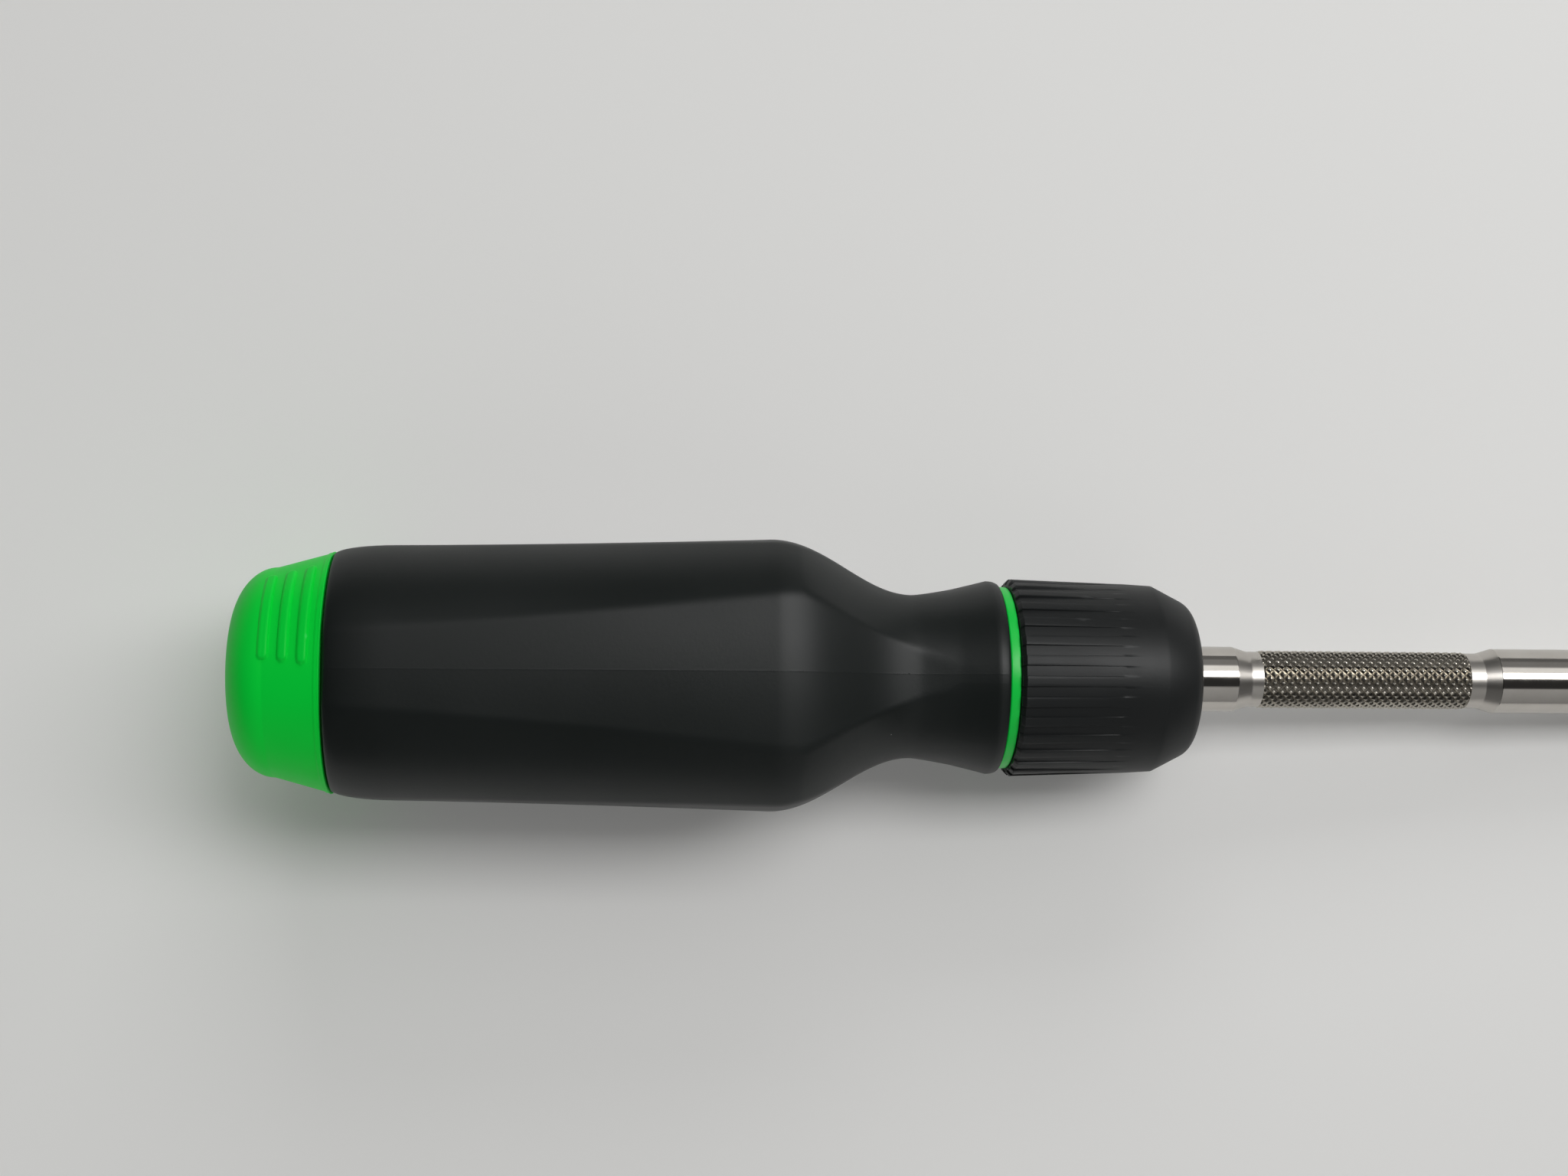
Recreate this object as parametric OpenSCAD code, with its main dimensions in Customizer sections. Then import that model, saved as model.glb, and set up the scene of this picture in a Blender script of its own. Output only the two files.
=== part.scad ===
// Ratcheting screwdriver with a finger-spin shaft, a selector collar and bits stored under a pull-out cap.
// The tool lies along X, tip toward +X, on one of the four facets of its grip. Units are millimetres.
// The origin is the mouth of the bit socket, on the shaft's axis.

/* [Shaft] */
// Diameter of the plain shaft
shaft_d = 8.8; // [8.5:0.1:9.4]
// Length of shaft that stands out of the collar
shaft_out_l = 98; // [80:1:150]
// Distance from the collar's nose to the finger-spin section
spin_from_nose = 5.5; // [2:0.5:12]
// Length of the rear cone of the finger-spin section
spin_rear_cone_l = 1.7; // [0.5:0.1:3]
// Length of the bare neck on each side of the knurl
spin_neck_l = 2.3; // [0.5:0.1:4]
// Diameter of the bare necks
spin_neck_d = 7.5; // [7:0.1:7.7]
// Length of the knurled band
knurl_l = 28.1; // [15:0.1:32]
// Diameter over the knurled band
knurl_d = 7.8; // [7.4:0.1:8.2]
// Length of the front cone of the finger-spin section
spin_front_cone_l = 2; // [0.5:0.1:3]
// Chamfer on the shaft's front edge
shaft_chamfer = 0.4; // [0.2:0.05:0.5]
// Depth of the hexagonal bit socket
socket_depth = 13; // [10:0.5:15]
// Diameter of the magnet behind the bit
magnet_d = 5; // [3:0.1:5.4]
// Length of the magnet
magnet_l = 3; // [2:0.1:5]

/* [Bits] */
// Width across the flats of a bit's shank
hex_flats = 6.35; // [6.2:0.01:6.4]
// Overall length of a bit
bit_l = 25; // [24:0.5:26]
// Length of a bit's hexagonal shank
shank_l = 15.5; // [13:0.5:17]
// Diameter of a bit where its tip starts
bit_neck_d = 4.6; // [4:0.1:5]
// Length of the cone that joins a bit's shank to its tip
bit_shoulder_l = 1.6; // [0.5:0.1:2]

/* [Grip] */
// Length of the grip body
grip_l = 86.9; // [84:0.1:100]
// Width across opposite facets at the rear end
grip_rear_d = 33.1; // [32:0.1:36]
// Width across opposite facets at the bulge
bulge_d = 35.9; // [34:0.1:40]
// Diameter of the round neck
neck_d = 21.7; // [21:0.1:25]
// Diameter of the flare in front of the neck
flare_d = 25.8; // [24:0.1:27]
// Distance from the rear end to the widest place
bulge_at = 56.6; // [50:0.1:60]
// Distance from the rear end to the neck
neck_at = 75.4; // [72:0.1:78]
// Distance from the rear end to the flare
flare_at = 85.6; // [82:0.1:86]
// How far the ridges stand above the facets at the rear end
ridge_rear_rise = 0.5; // [0.3:0.05:1]
// How far the ridges stand above the facets where they are tallest
ridge_rise = 1.85; // [1:0.05:2.5]
// Distance from the rear end to the tallest place of the ridges
ridge_at = 59.8; // [55:0.1:64]
// Distance from the rear end to the place where the facets run out
ridge_end_at = 80.8; // [76:0.1:82]
// Distance from the tool's axis to the axis that each crowned facet is turned about
crown_offset = 36; // [15:1:45]
// Radial size of the rounded rear edge
rear_round = 1.2; // [0.4:0.1:1.5]
// Length of the rounded rear edge
rear_round_l = 7.5; // [3:0.5:10]
// Radial size of the rounded front edge
front_round = 0.6; // [0.3:0.1:1]

/* [Selector collar] */
// Length of the collar
collar_l = 25.2; // [24.5:0.1:30]
// Thickness of the collar's skin over the cam ring, at the rear
collar_wall = 1.6; // [1.4:0.05:2.4]
// How much narrower the collar is where the flutes have run out
collar_mid_drop = 1; // [0.6:0.1:1.2]
// Distance from the rear face to that place
collar_mid_at = 16; // [12:0.5:17]
// How much narrower the collar is where the nose cone starts
collar_cone_drop = 1.4; // [1.2:0.1:1.8]
// Distance from the rear face to the nose cone
collar_cone_at = 19.5; // [18.5:0.1:20]
// Angle of the nose cone
collar_cone_angle = 27; // [20:1:30]
// Radius of the rounded nose
nose_round = 2.6; // [1.5:0.1:3]
// Number of flutes
flutes = 30; // [18:1:36]
// Width of one flute
flute_w = 1.36; // [0.8:0.02:1.5]
// Depth of the flutes at the rear
flute_depth = 0.45; // [0.3:0.05:0.6]
// Chamfer on the collar's rear edge
collar_chamfer = 0.5; // [0.3:0.1:0.9]
// Turn of the collar from its middle position to either side, in degrees
selector_turn = 20; // [15:1:22]

/* [Accent ring] */
// Thickness of the ring, outward from the housing
ring_wall = 1.8; // [1.5:0.05:2.2]
// Width of the ring
ring_w = 1.3; // [0.8:0.1:1.6]

/* [End cap] */
// Length of the cap
cap_l = 13.1; // [12.5:0.1:18]
// Diameter at the cap's front rim
cap_rim_d = 31.5; // [31:0.1:33]
// Diameter where the rounded end meets the tapered side
cap_shoulder_d = 27.4; // [27:0.1:29]
// Length of the rounded end
cap_round_l = 5.6; // [4:0.1:6.5]
// Diameter of the flat at the very end
cap_flat_d = 12; // [4:0.5:14]
// Number of thumb grooves on each side
grooves = 3; // [1:1:3]
// Width of a thumb groove
groove_w = 1.3; // [0.8:0.1:1.4]
// Distance from one groove to the next
groove_pitch = 2.5; // [2:0.1:2.8]
// Distance from the cap's rim to the nearest groove
groove_from_rim = 2.4; // [1.8:0.1:3]
// Half of the angle that a groove covers
groove_half_angle = 28; // [15:1:35]
// Angle of the groove group about the axis, counted from +Y toward +Z
groove_centre_angle = 55.5; // [40:0.5:90]

/* [Bit store] */
// Diameter of the bore in the grip
store_d = 24.8; // [24.4:0.1:26]
// Radius of the circle that the stored bits stand on
store_pitch_r = 7.4; // [7.2:0.1:8]
// Depth of each bit pocket
pocket_depth = 8; // [6:0.5:10]
// Diameter of the stem between the bits
store_stem_d = 5.2; // [3:0.1:6]
// Thickness of the disc at the front of the carrier
store_disc_t = 2.5; // [1.5:0.1:3]
// Thickness of the sealing ring's cord
seal_cord_d = 1.7; // [1.2:0.1:2]

/* [Ratchet] */
// Number of gear teeth
teeth = 24; // [24:12:24]
// Diameter over the gear's teeth
gear_d = 12; // [11.8:0.1:12.2]
// Depth of a tooth
tooth_h = 1; // [0.8:0.05:1.1]
// Length of the gear along the shaft
gear_l = 6; // [5:0.1:7]
// Diameter of the ratchet housing
housing_d = 20.7; // [20.4:0.1:20.8]
// Diameter of the stem that is pressed into the grip
stem_d = 15; // [14:0.1:16]
// Length of that stem
stem_l = 22; // [18:0.5:24]
// Diameter of the shaft's rear journal
journal_d = 6; // [5:0.1:6.4]
// Diameter of the pawl pins
pawl_pin_d = 1.4; // [1.2:0.1:1.5]
// Distance from the outside of the housing in to the axes of the pawl pins
pawl_pin_inset = 1.95; // [1.85:0.05:2.05]
// Angle of the upper pawl's pin, counted from +Y toward +Z
pawl_pin_angle = 72.6; // [71:0.1:74]
// Tooth gap that the upper pawl's nose enters, as an angle from +Y toward +Z
pawl_nose_angle = 105; // [105:15:105]
// Angle of the upper pawl's tail
pawl_tail_angle = 50; // [48:0.5:52]
// Angle through which a pawl lifts out of the teeth
pawl_lift = 12; // [10:0.5:12]

/* [Hidden] */

// Sides of a round solid
round_sides = 72;
// How far a cut runs past the solid that it cuts
over = 1;
// Radial gap between pieces that are pressed or seated together
seat_gap = 0.02;
// Radial gap between a shaft or pin and its bore
running_gap = 0.03;
// Radial gap between the collar's inside and the housing that it turns on
turn_gap = 0.1;
// Axial gap between pieces that turn past each other
face_gap = 0.1;
// Gap that keeps one loose piece clear of another
clear_gap = 0.3;
// Gap between a bit and its socket or pocket, on each flat
hex_gap = 0.05;

// Places along the axis, from the tip back to the cap
nose_x = -shaft_out_l;
collar_x = nose_x - collar_l;
ring_x = collar_x - face_gap - ring_w;
ring_d = housing_d + 2 * ring_wall;
grip_front_x = ring_x - face_gap;
grip_rear_x = grip_front_x - grip_l;
cap_rim_x = grip_rear_x - clear_gap;
cap_rear_x = cap_rim_x - cap_l;

// Shaft stations
spin_x = nose_x + spin_from_nose;
knurl_x = spin_x + spin_rear_cone_l + spin_neck_l;
knurl_end_x = knurl_x + knurl_l;
spin_end_x = knurl_end_x + spin_neck_l + spin_front_cone_l;
socket_flats = hex_flats + 2 * hex_gap;

// Ratchet housing stations
housing_x = grip_front_x + seat_gap;
housing_wall = 4.7;
washer_t = 0.5;
cavity_x = housing_x + housing_wall;
gear_x = cavity_x + washer_t + face_gap;
gear_end_x = gear_x + gear_l;
cover_x = gear_end_x + 2 * face_gap;
cover_l = 9;
cover_end_x = cover_x + cover_l;
stem_x = housing_x - stem_l;
stem_rib_w = 1.6;
stem_rib_h = 0.8;
stem_rib_inset = 2;
stem_bore_d = 10.4;
cavity_r = gear_d / 2 + 2 * clear_gap;

// Bushes, washer and clip
rear_bush_wall = 1.5;
rear_bush_l = 6.3;
rear_bush_x = cavity_x - rear_bush_l;
clip_t = 0.8;
clip_groove_depth = 0.4;
clip_groove_d = journal_d - 2 * clip_groove_depth;
clip_slot_share = 0.8;
clip_d = 9.2;
clip_x = rear_bush_x - clear_gap - clip_t;
journal_tail_l = 1;
shaft_rear_x = clip_x - journal_tail_l;
front_bush_d = 11.4;
front_bush_flange_d = 13;
front_bush_flange_t = 0.6;
nose_tube_d = 14;
nose_tube_l = 3.4;
nose_tube_end_x = cover_end_x + nose_tube_l;
front_bush_shelf = 0.7;
front_bush_x = cover_x + front_bush_shelf;
front_bush_end_x = nose_tube_end_x + front_bush_flange_t;
gear_seat_d = 7.8;
gear_seat_flats = 6.8;

// Collar inside
cam_ring_wall = 1.15;
cam_ring_d = housing_d + 2 * (turn_gap + cam_ring_wall);
collar_rear_d = cam_ring_d + 2 * collar_wall;
collar_mid_d = collar_rear_d - collar_mid_drop;
collar_cone_d = collar_rear_d - collar_cone_drop;
flute_floor_d = collar_rear_d - 2 * flute_depth;
cam_ring_x = collar_x + collar_chamfer;
cam_ring_l = 16.2;
cam_ring_end_x = cam_ring_x + cam_ring_l;
cam_key_w = 1.6;
cam_key_h = 0.35;
collar_land_x = cam_ring_end_x + face_gap;
collar_land_d = housing_d + 2 * turn_gap;
nose_hollow_d = 16;
nose_hollow_x = cover_end_x + face_gap;
nose_hollow_end_x = front_bush_end_x + clear_gap;
nose_hole_gap = 0.35;
nose_hole_d = shaft_d + 2 * nose_hole_gap;

// Retaining ring of the collar
retainer_wire_d = 0.9;
retainer_depth = 0.3;
retainer_mid_d = housing_d - retainer_depth;
retainer_groove_w = retainer_wire_d + face_gap;
retainer_inset = 1.4;
retainer_x = cover_end_x - retainer_inset;
retainer_groove_floor_d = retainer_mid_d - retainer_wire_d - face_gap;
retainer_groove_roof_d = retainer_mid_d + retainer_wire_d + 2 * clear_gap;
retainer_gap_w = 5;

// Pins that hold the cover on the housing
cover_pin_d = 2;
cover_pin_wall = 0.85;
cover_pin_at = (housing_d - cover_pin_d) / 2 - cover_pin_wall;
cover_pin_floor = 1.7;
cover_pin_x = cavity_x + cover_pin_floor;
cover_pin_end_x = cover_end_x - clear_gap;

// Pawls: a lever on a pin, its nose in the gear and its tail in the cam ring
pawl_x = gear_x + face_gap;
pawl_l = gear_l - 2 * face_gap;
pawl_boss_r = 1.25;
pawl_arm_w = 1.3;
pawl_tail_w = 1.2;
pawl_nose_h = 0.8;
pawl_nose_base_r = gear_d / 2 + pawl_nose_h;
pawl_belly_gap = 0.15;
pawl_tail_reach = 0.7;
pawl_tail_end_r = collar_land_d / 2 + pawl_tail_reach;
nose_tip_w = 0.34;
nose_base_w = 0.72;
nose_root_gap = 0.16;
nose_depth = tooth_h - nose_root_gap;
nose_shift = 0.05;
pawl_pin_tail_l = 1.5;
pawl_pin_head_l = 1.4;
tooth_tip_share = 0.29;
tooth_root_share = 0.59;
pocket_roof_wall = 0.9;
pocket_roof_z = housing_d / 2 - pocket_roof_wall;
pocket_side_y = 3.3;
pocket_floor_gap = 0.2;
nose_relief_z = sqrt(pow(cavity_r, 2) - pow(pocket_side_y, 2)) - pocket_floor_gap;
cam_recess_wall = 0.3;
cam_recess_d = cam_ring_d - 2 * cam_recess_wall;
cam_recess_margin = 8;
cam_recess_half_angle = selector_turn + cam_recess_margin;
pawl_pin_at = housing_d / 2 - pawl_pin_inset;
pivot = pawl_pin_at * [cos(pawl_pin_angle), sin(pawl_pin_angle)];
nose_base = pawl_nose_base_r * [cos(pawl_nose_angle), sin(pawl_nose_angle)];
arm_end = nose_base + (nose_base - pivot) / norm(nose_base - pivot) * nose_base_w / 2;
tail_end = (pawl_tail_end_r - pawl_tail_w / 2) * [cos(pawl_tail_angle), sin(pawl_tail_angle)];
tail_drop = norm(tail_end - pivot) * sin(pawl_lift);
pocket_floor_z = tail_end[1] - pawl_tail_w / 2 - tail_drop - pocket_floor_gap;

// Pawl springs, between each pawl's back and the housing's roof
spring_seat_z = 7.2;
spring_seat_y = -1.5;
spring_seat_half = 1.05;
spring_r = 0.72;
spring_wire_d = 0.3;
spring_turns = 4;
spring_slack = 0.04;
coil_end_share = 0.3;
spring_x = pawl_x + pawl_l / 2;

// Detent ball and its spring, in a radial hole of the cover
ball_d = 2;
detent_inset = 4.2;
detent_x = cover_x + detent_inset;
detent_hole_d = ball_d + 2 * hex_gap;
detent_hole_floor = 6.5;
ball_at = housing_d / 2 + turn_gap / 2 - ball_d / 2;
ball_travel = 0.45;
notch_r = ball_d / 2 + hex_gap;

// Bit carrier and cap inside
groove_end_lift = 0.06;
cap_end_wall = 7.5;
cap_cavity_x = cap_rear_x + cap_end_wall;
carrier_flange_d = 26;
carrier_flange_l = 5.1;
carrier_floor = 3;
carrier_wall = 3;
carrier_rear_x = cap_rim_x - carrier_flange_l;
seal_from_rim = 2.2;
seal_x = cap_rim_x + seal_from_rim;
seal_groove_w = seal_cord_d + 2 * face_gap;
carrier_boss_gap = 0.5;
carrier_boss_d = store_d - 2 * carrier_boss_gap;
seal_mid_d = store_d - seal_cord_d - 2 * hex_gap;
seal_shoulder = 1;
pocket_x = seal_x + seal_groove_w / 2 + seal_shoulder;
carrier_boss_end_x = pocket_x + pocket_depth;
store_disc_x = pocket_x + bit_l + pocket_depth;
store_disc_d = store_d - 2 * clear_gap;
store_end_gap = 2;
store_end_x = store_disc_x + store_disc_t + store_end_gap;

// A value between two others
function mix(a, b, t) = a + (b - a) * t;
// A smooth step from 0 to 1
function ease(t) = (1 - cos(180 * min(max(t, 0), 1))) / 2;
// Points on an arc about a centre
function arc(centre, r, from, to, steps) = [
    for (i = [0 : steps]) centre + r * [cos(mix(from, to, i / steps)), sin(mix(from, to, i / steps))]
];
// The four corners of a tapered bar between two points
function strip(p, q, w_p, w_q) =
    let (along = (q - p) / norm(q - p), side = [-along[1], along[0]])
    [p + side * w_p / 2, p - side * w_p / 2, q - side * w_q / 2, q + side * w_q / 2];

// Solid of revolution about the tool's axis, from points of place along the axis and radius
module turned(outline) {
    rotate([0, 90, 0])
        rotate_extrude($fn = round_sides)
            polygon([for (p = outline) [p[1], p[0]]]);
}
// Round bar along the axis
module bar(from, to, r) {
    translate([from, 0, 0])
        rotate([0, 90, 0])
            cylinder(h = to - from, r = r, $fn = round_sides);
}
// Tube along the axis
module tube(from, to, outer_r, inner_r) {
    difference() {
        bar(from, to, outer_r);
        bar(from - over, to + over, inner_r);
    }
}
// Hexagonal bar along the axis, its flats facing up and down
module hex_bar(from, to, flats) {
    translate([from, 0, 0])
        rotate([30, 0, 0])
            rotate([0, 90, 0])
                cylinder(h = to - from, r = flats / 2 / cos(30), $fn = 6);
}
// Flat shape drawn in Y and Z, made thick along the axis
module slab(from, to) {
    translate([from, 0, 0])
        rotate([90, 0, 90])
            linear_extrude(to - from)
                children();
}
// Wedge about the axis between two angles, as a flat shape in Y and Z
module sector(from, to, r) {
    polygon(concat([[0, 0]], arc([0, 0], r, from, to, 4)));
}
// Piece turned about the axis to an angle counted from +Y
module at_angle(a) {
    rotate([a, 0, 0])
        children();
}

// How the grip swells toward the bulge and the flare
bulge_swell_power = 1.5;
flare_swell_power = 1.3;
// How the ridges swell toward the bulge and fade in front of it
ridge_swell_power = 1.6;
ridge_fade_power = 1.25;
// Grip: half the width across the facets at a distance from the rear end
function facet_r(u) =
    u < bulge_at ? mix(grip_rear_d, bulge_d, pow(u / bulge_at, bulge_swell_power)) / 2
    : u < neck_at ? mix(bulge_d, neck_d, ease((u - bulge_at) / (neck_at - bulge_at))) / 2
    : mix(neck_d, flare_d, pow(min((u - neck_at) / (flare_at - neck_at), 1), flare_swell_power)) / 2;
// How far the ridges stand above the facets, below zero where the grip is round
function ridge_over(u) =
    u < ridge_at ? mix(ridge_rear_rise, ridge_rise, pow(u / ridge_at, ridge_swell_power))
    : let (left = (ridge_end_at - u) / (ridge_end_at - ridge_at)) ridge_rise * sign(left) * pow(abs(left), ridge_fade_power);
// What the rounded rear and front edges take off the radius
function edge_drop(u) =
    u < rear_round_l ? rear_round * (1 - sqrt(1 - pow(1 - u / rear_round_l, 2)))
    : u > flare_at ? front_round * (1 - sqrt(1 - pow((u - flare_at) / (grip_l - flare_at), 2)))
    : 0;
// Stations along the grip, close together where its outline bends
grip_stations = concat(
    [for (i = [0 : 5]) rear_round_l * (1 - cos(90 * i / 5))],
    [for (i = [1 : 6]) mix(rear_round_l, bulge_at, i / 6)],
    [for (i = [1 : 9]) mix(bulge_at, neck_at, i / 9)],
    [for (i = [1 : 5]) mix(neck_at, flare_at, i / 5)],
    [for (i = [1 : 4]) mix(flare_at, grip_l, sin(90 * i / 4))]
);
// Outline of the round blank, or of one crowned facet turned about its own axis
function grip_outline(is_facet) = concat(
    [[grip_rear_x, 0]],
    [for (u = grip_stations) [
        grip_rear_x + u,
        facet_r(u) - edge_drop(u) + (is_facet ? crown_offset + max(-ridge_over(u), 0) : max(ridge_over(u), 0))
    ]],
    [[grip_front_x, 0]]
);
module grip_facet(a) {
    at_angle(a)
        translate([0, 0, -crown_offset])
            turned(grip_outline(true));
}
module stem_ribs(from, to, w, r) {
    for (a = [0 : 90 : 270])
        at_angle(a)
            translate([from, 0, -w / 2])
                cube([to - from, r, w]);
}
module grip_body() {
    color("#26282a")
        difference() {
            intersection() {
                turned(grip_outline(false));
                grip_facet(0);
                grip_facet(90);
                grip_facet(180);
                grip_facet(270);
            }
            bar(grip_rear_x - over, store_end_x, store_d / 2);
            bar(stem_x - clear_gap, grip_front_x + over, stem_d / 2 + seat_gap);
            stem_ribs(
                stem_x - clear_gap, housing_x - stem_rib_inset + clear_gap,
                stem_rib_w + 2 * seat_gap, stem_d / 2 + stem_rib_h + seat_gap
            );
        }
}

module accent_ring() {
    color("#14c83c")
        tube(ring_x, ring_x + ring_w, ring_d / 2, housing_d / 2 + seat_gap);
}

// End cap: rounded end, tapered side and a thin rim
cap_outline = concat(
    [[cap_rear_x, 0]],
    [for (i = [0 : 8]) [
        cap_rear_x + cap_round_l * (1 - cos(90 * i / 8)),
        mix(cap_flat_d, cap_shoulder_d, sin(90 * i / 8)) / 2
    ]],
    [[cap_rim_x, cap_rim_d / 2], [cap_rim_x, 0]]
);
function cap_side_r(x) =
    mix(cap_shoulder_d, cap_rim_d, (x - cap_rear_x - cap_round_l) / (cap_l - cap_round_l)) / 2;
module thumb_groove(x) {
    groove_r = cap_side_r(x);
    intersection() {
        translate([x, 0, 0])
            rotate([0, 90, 0])
                rotate_extrude($fn = round_sides)
                    translate([groove_r, 0])
                        circle(d = groove_w, $fn = 24);
        slab(x - groove_w, x + groove_w)
            sector(groove_centre_angle - groove_half_angle, groove_centre_angle + groove_half_angle, 2 * groove_r);
    }
    for (a = [groove_centre_angle - groove_half_angle, groove_centre_angle + groove_half_angle])
        at_angle(a)
            translate([x, groove_r + groove_end_lift, 0])
                sphere(d = groove_w + groove_end_lift, $fn = 24);
}
module end_cap() {
    color("#18c840")
        difference() {
            turned(cap_outline);
            bar(cap_cavity_x, cap_rim_x + over, carrier_flange_d / 2 + seat_gap);
            for (side = [0, 180])
                at_angle(side)
                    for (i = [0 : grooves - 1])
                        thumb_groove(cap_rim_x - groove_from_rim - i * groove_pitch);
        }
}

// Bit carrier: flange in the cap, boss with six pockets, stem and front disc
module stored_place(i) {
    at_angle(60 * i + 30)
        translate([0, 0, store_pitch_r])
            children();
}
module bit_carrier() {
    color("#303234")
        difference() {
            union() {
                bar(carrier_rear_x, cap_rim_x, carrier_flange_d / 2);
                bar(cap_rim_x, carrier_boss_end_x, carrier_boss_d / 2);
                bar(carrier_boss_end_x, store_disc_x, store_stem_d / 2);
                bar(store_disc_x, store_disc_x + store_disc_t, store_disc_d / 2);
            }
            bar(carrier_rear_x - over, cap_rim_x - carrier_floor, carrier_flange_d / 2 - carrier_wall);
            tube(
                seal_x - seal_groove_w / 2, seal_x + seal_groove_w / 2,
                store_d / 2, (seal_mid_d - seal_cord_d) / 2 - seat_gap
            );
            for (i = [0 : 5])
                stored_place(i)
                    hex_bar(pocket_x, carrier_boss_end_x + over, socket_flats);
        }
}
module carrier_seal() {
    color("#1c1c1e")
        translate([seal_x, 0, 0])
            rotate([0, 90, 0])
                rotate_extrude($fn = round_sides)
                    translate([seal_mid_d / 2, 0])
                        circle(d = seal_cord_d, $fn = 24);
}

// Bits: a chamfered hexagonal shank, a turned neck and one of five tips
bit_chamfer = 0.5;
hex_corner_r = hex_flats / 2 / cos(30);
tip_x = shank_l + bit_shoulder_l;
tip_l = bit_l - tip_x;
neck_r = bit_neck_d / 2;
slot_half_angle = 22;
slot_cut_from_share = 0.3;
cross_wall = 0.62;
cross_point_share = 0.34;
cross_cone_share = 0.45;
square_side = 2.9;
square_share = 0.55;
star_points = 6;
star_outer_r = 1.95;
star_inner_r = 1.4;
slot_large_w = 5.5;
slot_large_t = 1;
slot_small_w = 4;
slot_small_t = 0.8;
small_cross_scale = 0.8;
module bit_shank() {
    intersection() {
        hex_bar(0, shank_l + bit_shoulder_l, hex_flats);
        turned([
            [0, 0], [0, hex_corner_r - bit_chamfer], [bit_chamfer, hex_corner_r],
            [shank_l, hex_corner_r], [tip_x, neck_r], [tip_x, 0]
        ]);
    }
}
module cross_tip(r) {
    cone_x = bit_l - tip_l * cross_cone_share;
    difference() {
        turned([[tip_x - seat_gap, 0], [tip_x - seat_gap, r], [cone_x, r], [bit_l, r * cross_point_share], [bit_l, 0]]);
        for (a = [45 : 90 : 315])
            at_angle(a)
                translate([cone_x - tip_l * slot_cut_from_share, cross_wall, cross_wall])
                    rotate([0, 0, slot_half_angle / 4])
                        cube([tip_l, r, r]);
    }
}
module slot_tip(w, t) {
    difference() {
        intersection() {
            bar(tip_x - seat_gap, bit_l, w / 2);
            translate([tip_x - seat_gap, -w / 2, -neck_r])
                cube([tip_l + seat_gap, w, bit_neck_d]);
        }
        for (side = [0, 180])
            at_angle(side)
                slot_cheek(w, t);
    }
}
// Slanted cut that thins one side of a blade
module slot_cheek(w, t) {
    translate([0, w, 0])
        rotate([90, 0, 0])
            linear_extrude(2 * w)
                polygon([
                    [tip_x, neck_r], [bit_l - tip_l * slot_cut_from_share, t / 2], [bit_l + over, t / 2],
                    [bit_l + over, neck_r + over], [tip_x, neck_r + over]
                ]);
}
module square_tip() {
    bar(tip_x - seat_gap, bit_l - tip_l * square_share, neck_r);
    translate([tip_x, -square_side / 2, -square_side / 2])
        cube([tip_l, square_side, square_side]);
}
module star_tip() {
    bar(tip_x - seat_gap, bit_l - tip_l * square_share, neck_r);
    slab(tip_x, bit_l)
        polygon([
            for (i = [0 : 2 * star_points - 1])
                (i % 2 == 0 ? star_outer_r : star_inner_r) * [cos(180 * i / star_points), sin(180 * i / star_points)]
        ]);
}
module bit(tip) {
    bit_shank();
    if (tip == "cross") cross_tip(neck_r);
    if (tip == "small cross") cross_tip(neck_r * small_cross_scale);
    if (tip == "slot") slot_tip(slot_large_w, slot_large_t);
    if (tip == "small slot") slot_tip(slot_small_w, slot_small_t);
    if (tip == "square") square_tip();
    if (tip == "star") star_tip();
}
module stored_bit(i, tip) {
    color("#b8babd")
        stored_place(i)
            translate([pocket_x + seat_gap, 0, 0])
                bit(tip);
}
module stored_slot_small() stored_bit(0, "small slot");
module stored_slot_large() stored_bit(1, "slot");
module stored_cross_small() stored_bit(2, "small cross");
module stored_cross_large() stored_bit(3, "cross");
module stored_square() stored_bit(4, "square");
module stored_star() stored_bit(5, "star");
module driver_bit() {
    color("#b8babd")
        translate([-socket_depth + seat_gap, 0, 0])
            bit("cross");
}

// Drive shaft: bored front end, finger-spin section, gear seat and rear journal
module drive_shaft() {
    shaft_r = shaft_d / 2;
    neck = spin_neck_d / 2;
    color("#c8cacc")
        difference() {
            union() {
                turned([
                    [gear_end_x + face_gap, 0], [gear_end_x + face_gap, shaft_r], [spin_x, shaft_r],
                    [spin_x + spin_rear_cone_l, neck], [knurl_x, neck], [knurl_x, knurl_d / 2],
                    [knurl_end_x, knurl_d / 2], [knurl_end_x, neck], [knurl_end_x + spin_neck_l, neck],
                    [spin_end_x, shaft_r], [-shaft_chamfer, shaft_r], [0, shaft_r - shaft_chamfer], [0, 0]
                ]);
                intersection() {
                    bar(gear_x, gear_end_x + face_gap, gear_seat_d / 2);
                    translate([gear_x, -gear_seat_d, -gear_seat_flats / 2])
                        cube([gear_l + over, 2 * gear_seat_d, gear_seat_flats]);
                }
                difference() {
                    bar(shaft_rear_x, gear_x, journal_d / 2);
                    tube(clip_x, clip_x + clip_t, journal_d, clip_groove_d / 2);
                }
            }
            hex_bar(-socket_depth, over, socket_flats);
            bar(-socket_depth - magnet_l - hex_gap, -socket_depth + over, magnet_d / 2 + seat_gap);
        }
}
module bit_magnet() {
    color("#8c8e90")
        bar(-socket_depth - magnet_l, -socket_depth, magnet_d / 2);
}
// Open retaining ring in the journal's groove
module shaft_clip() {
    slot_w = clip_groove_d * clip_slot_share;
    color("#6e7072")
        difference() {
            tube(clip_x + seat_gap, clip_x + clip_t - seat_gap, clip_d / 2, clip_groove_d / 2 + seat_gap);
            translate([clip_x - over, -clip_d, -slot_w / 2])
                cube([clip_t + 2 * over, clip_d, slot_w]);
        }
}

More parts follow.
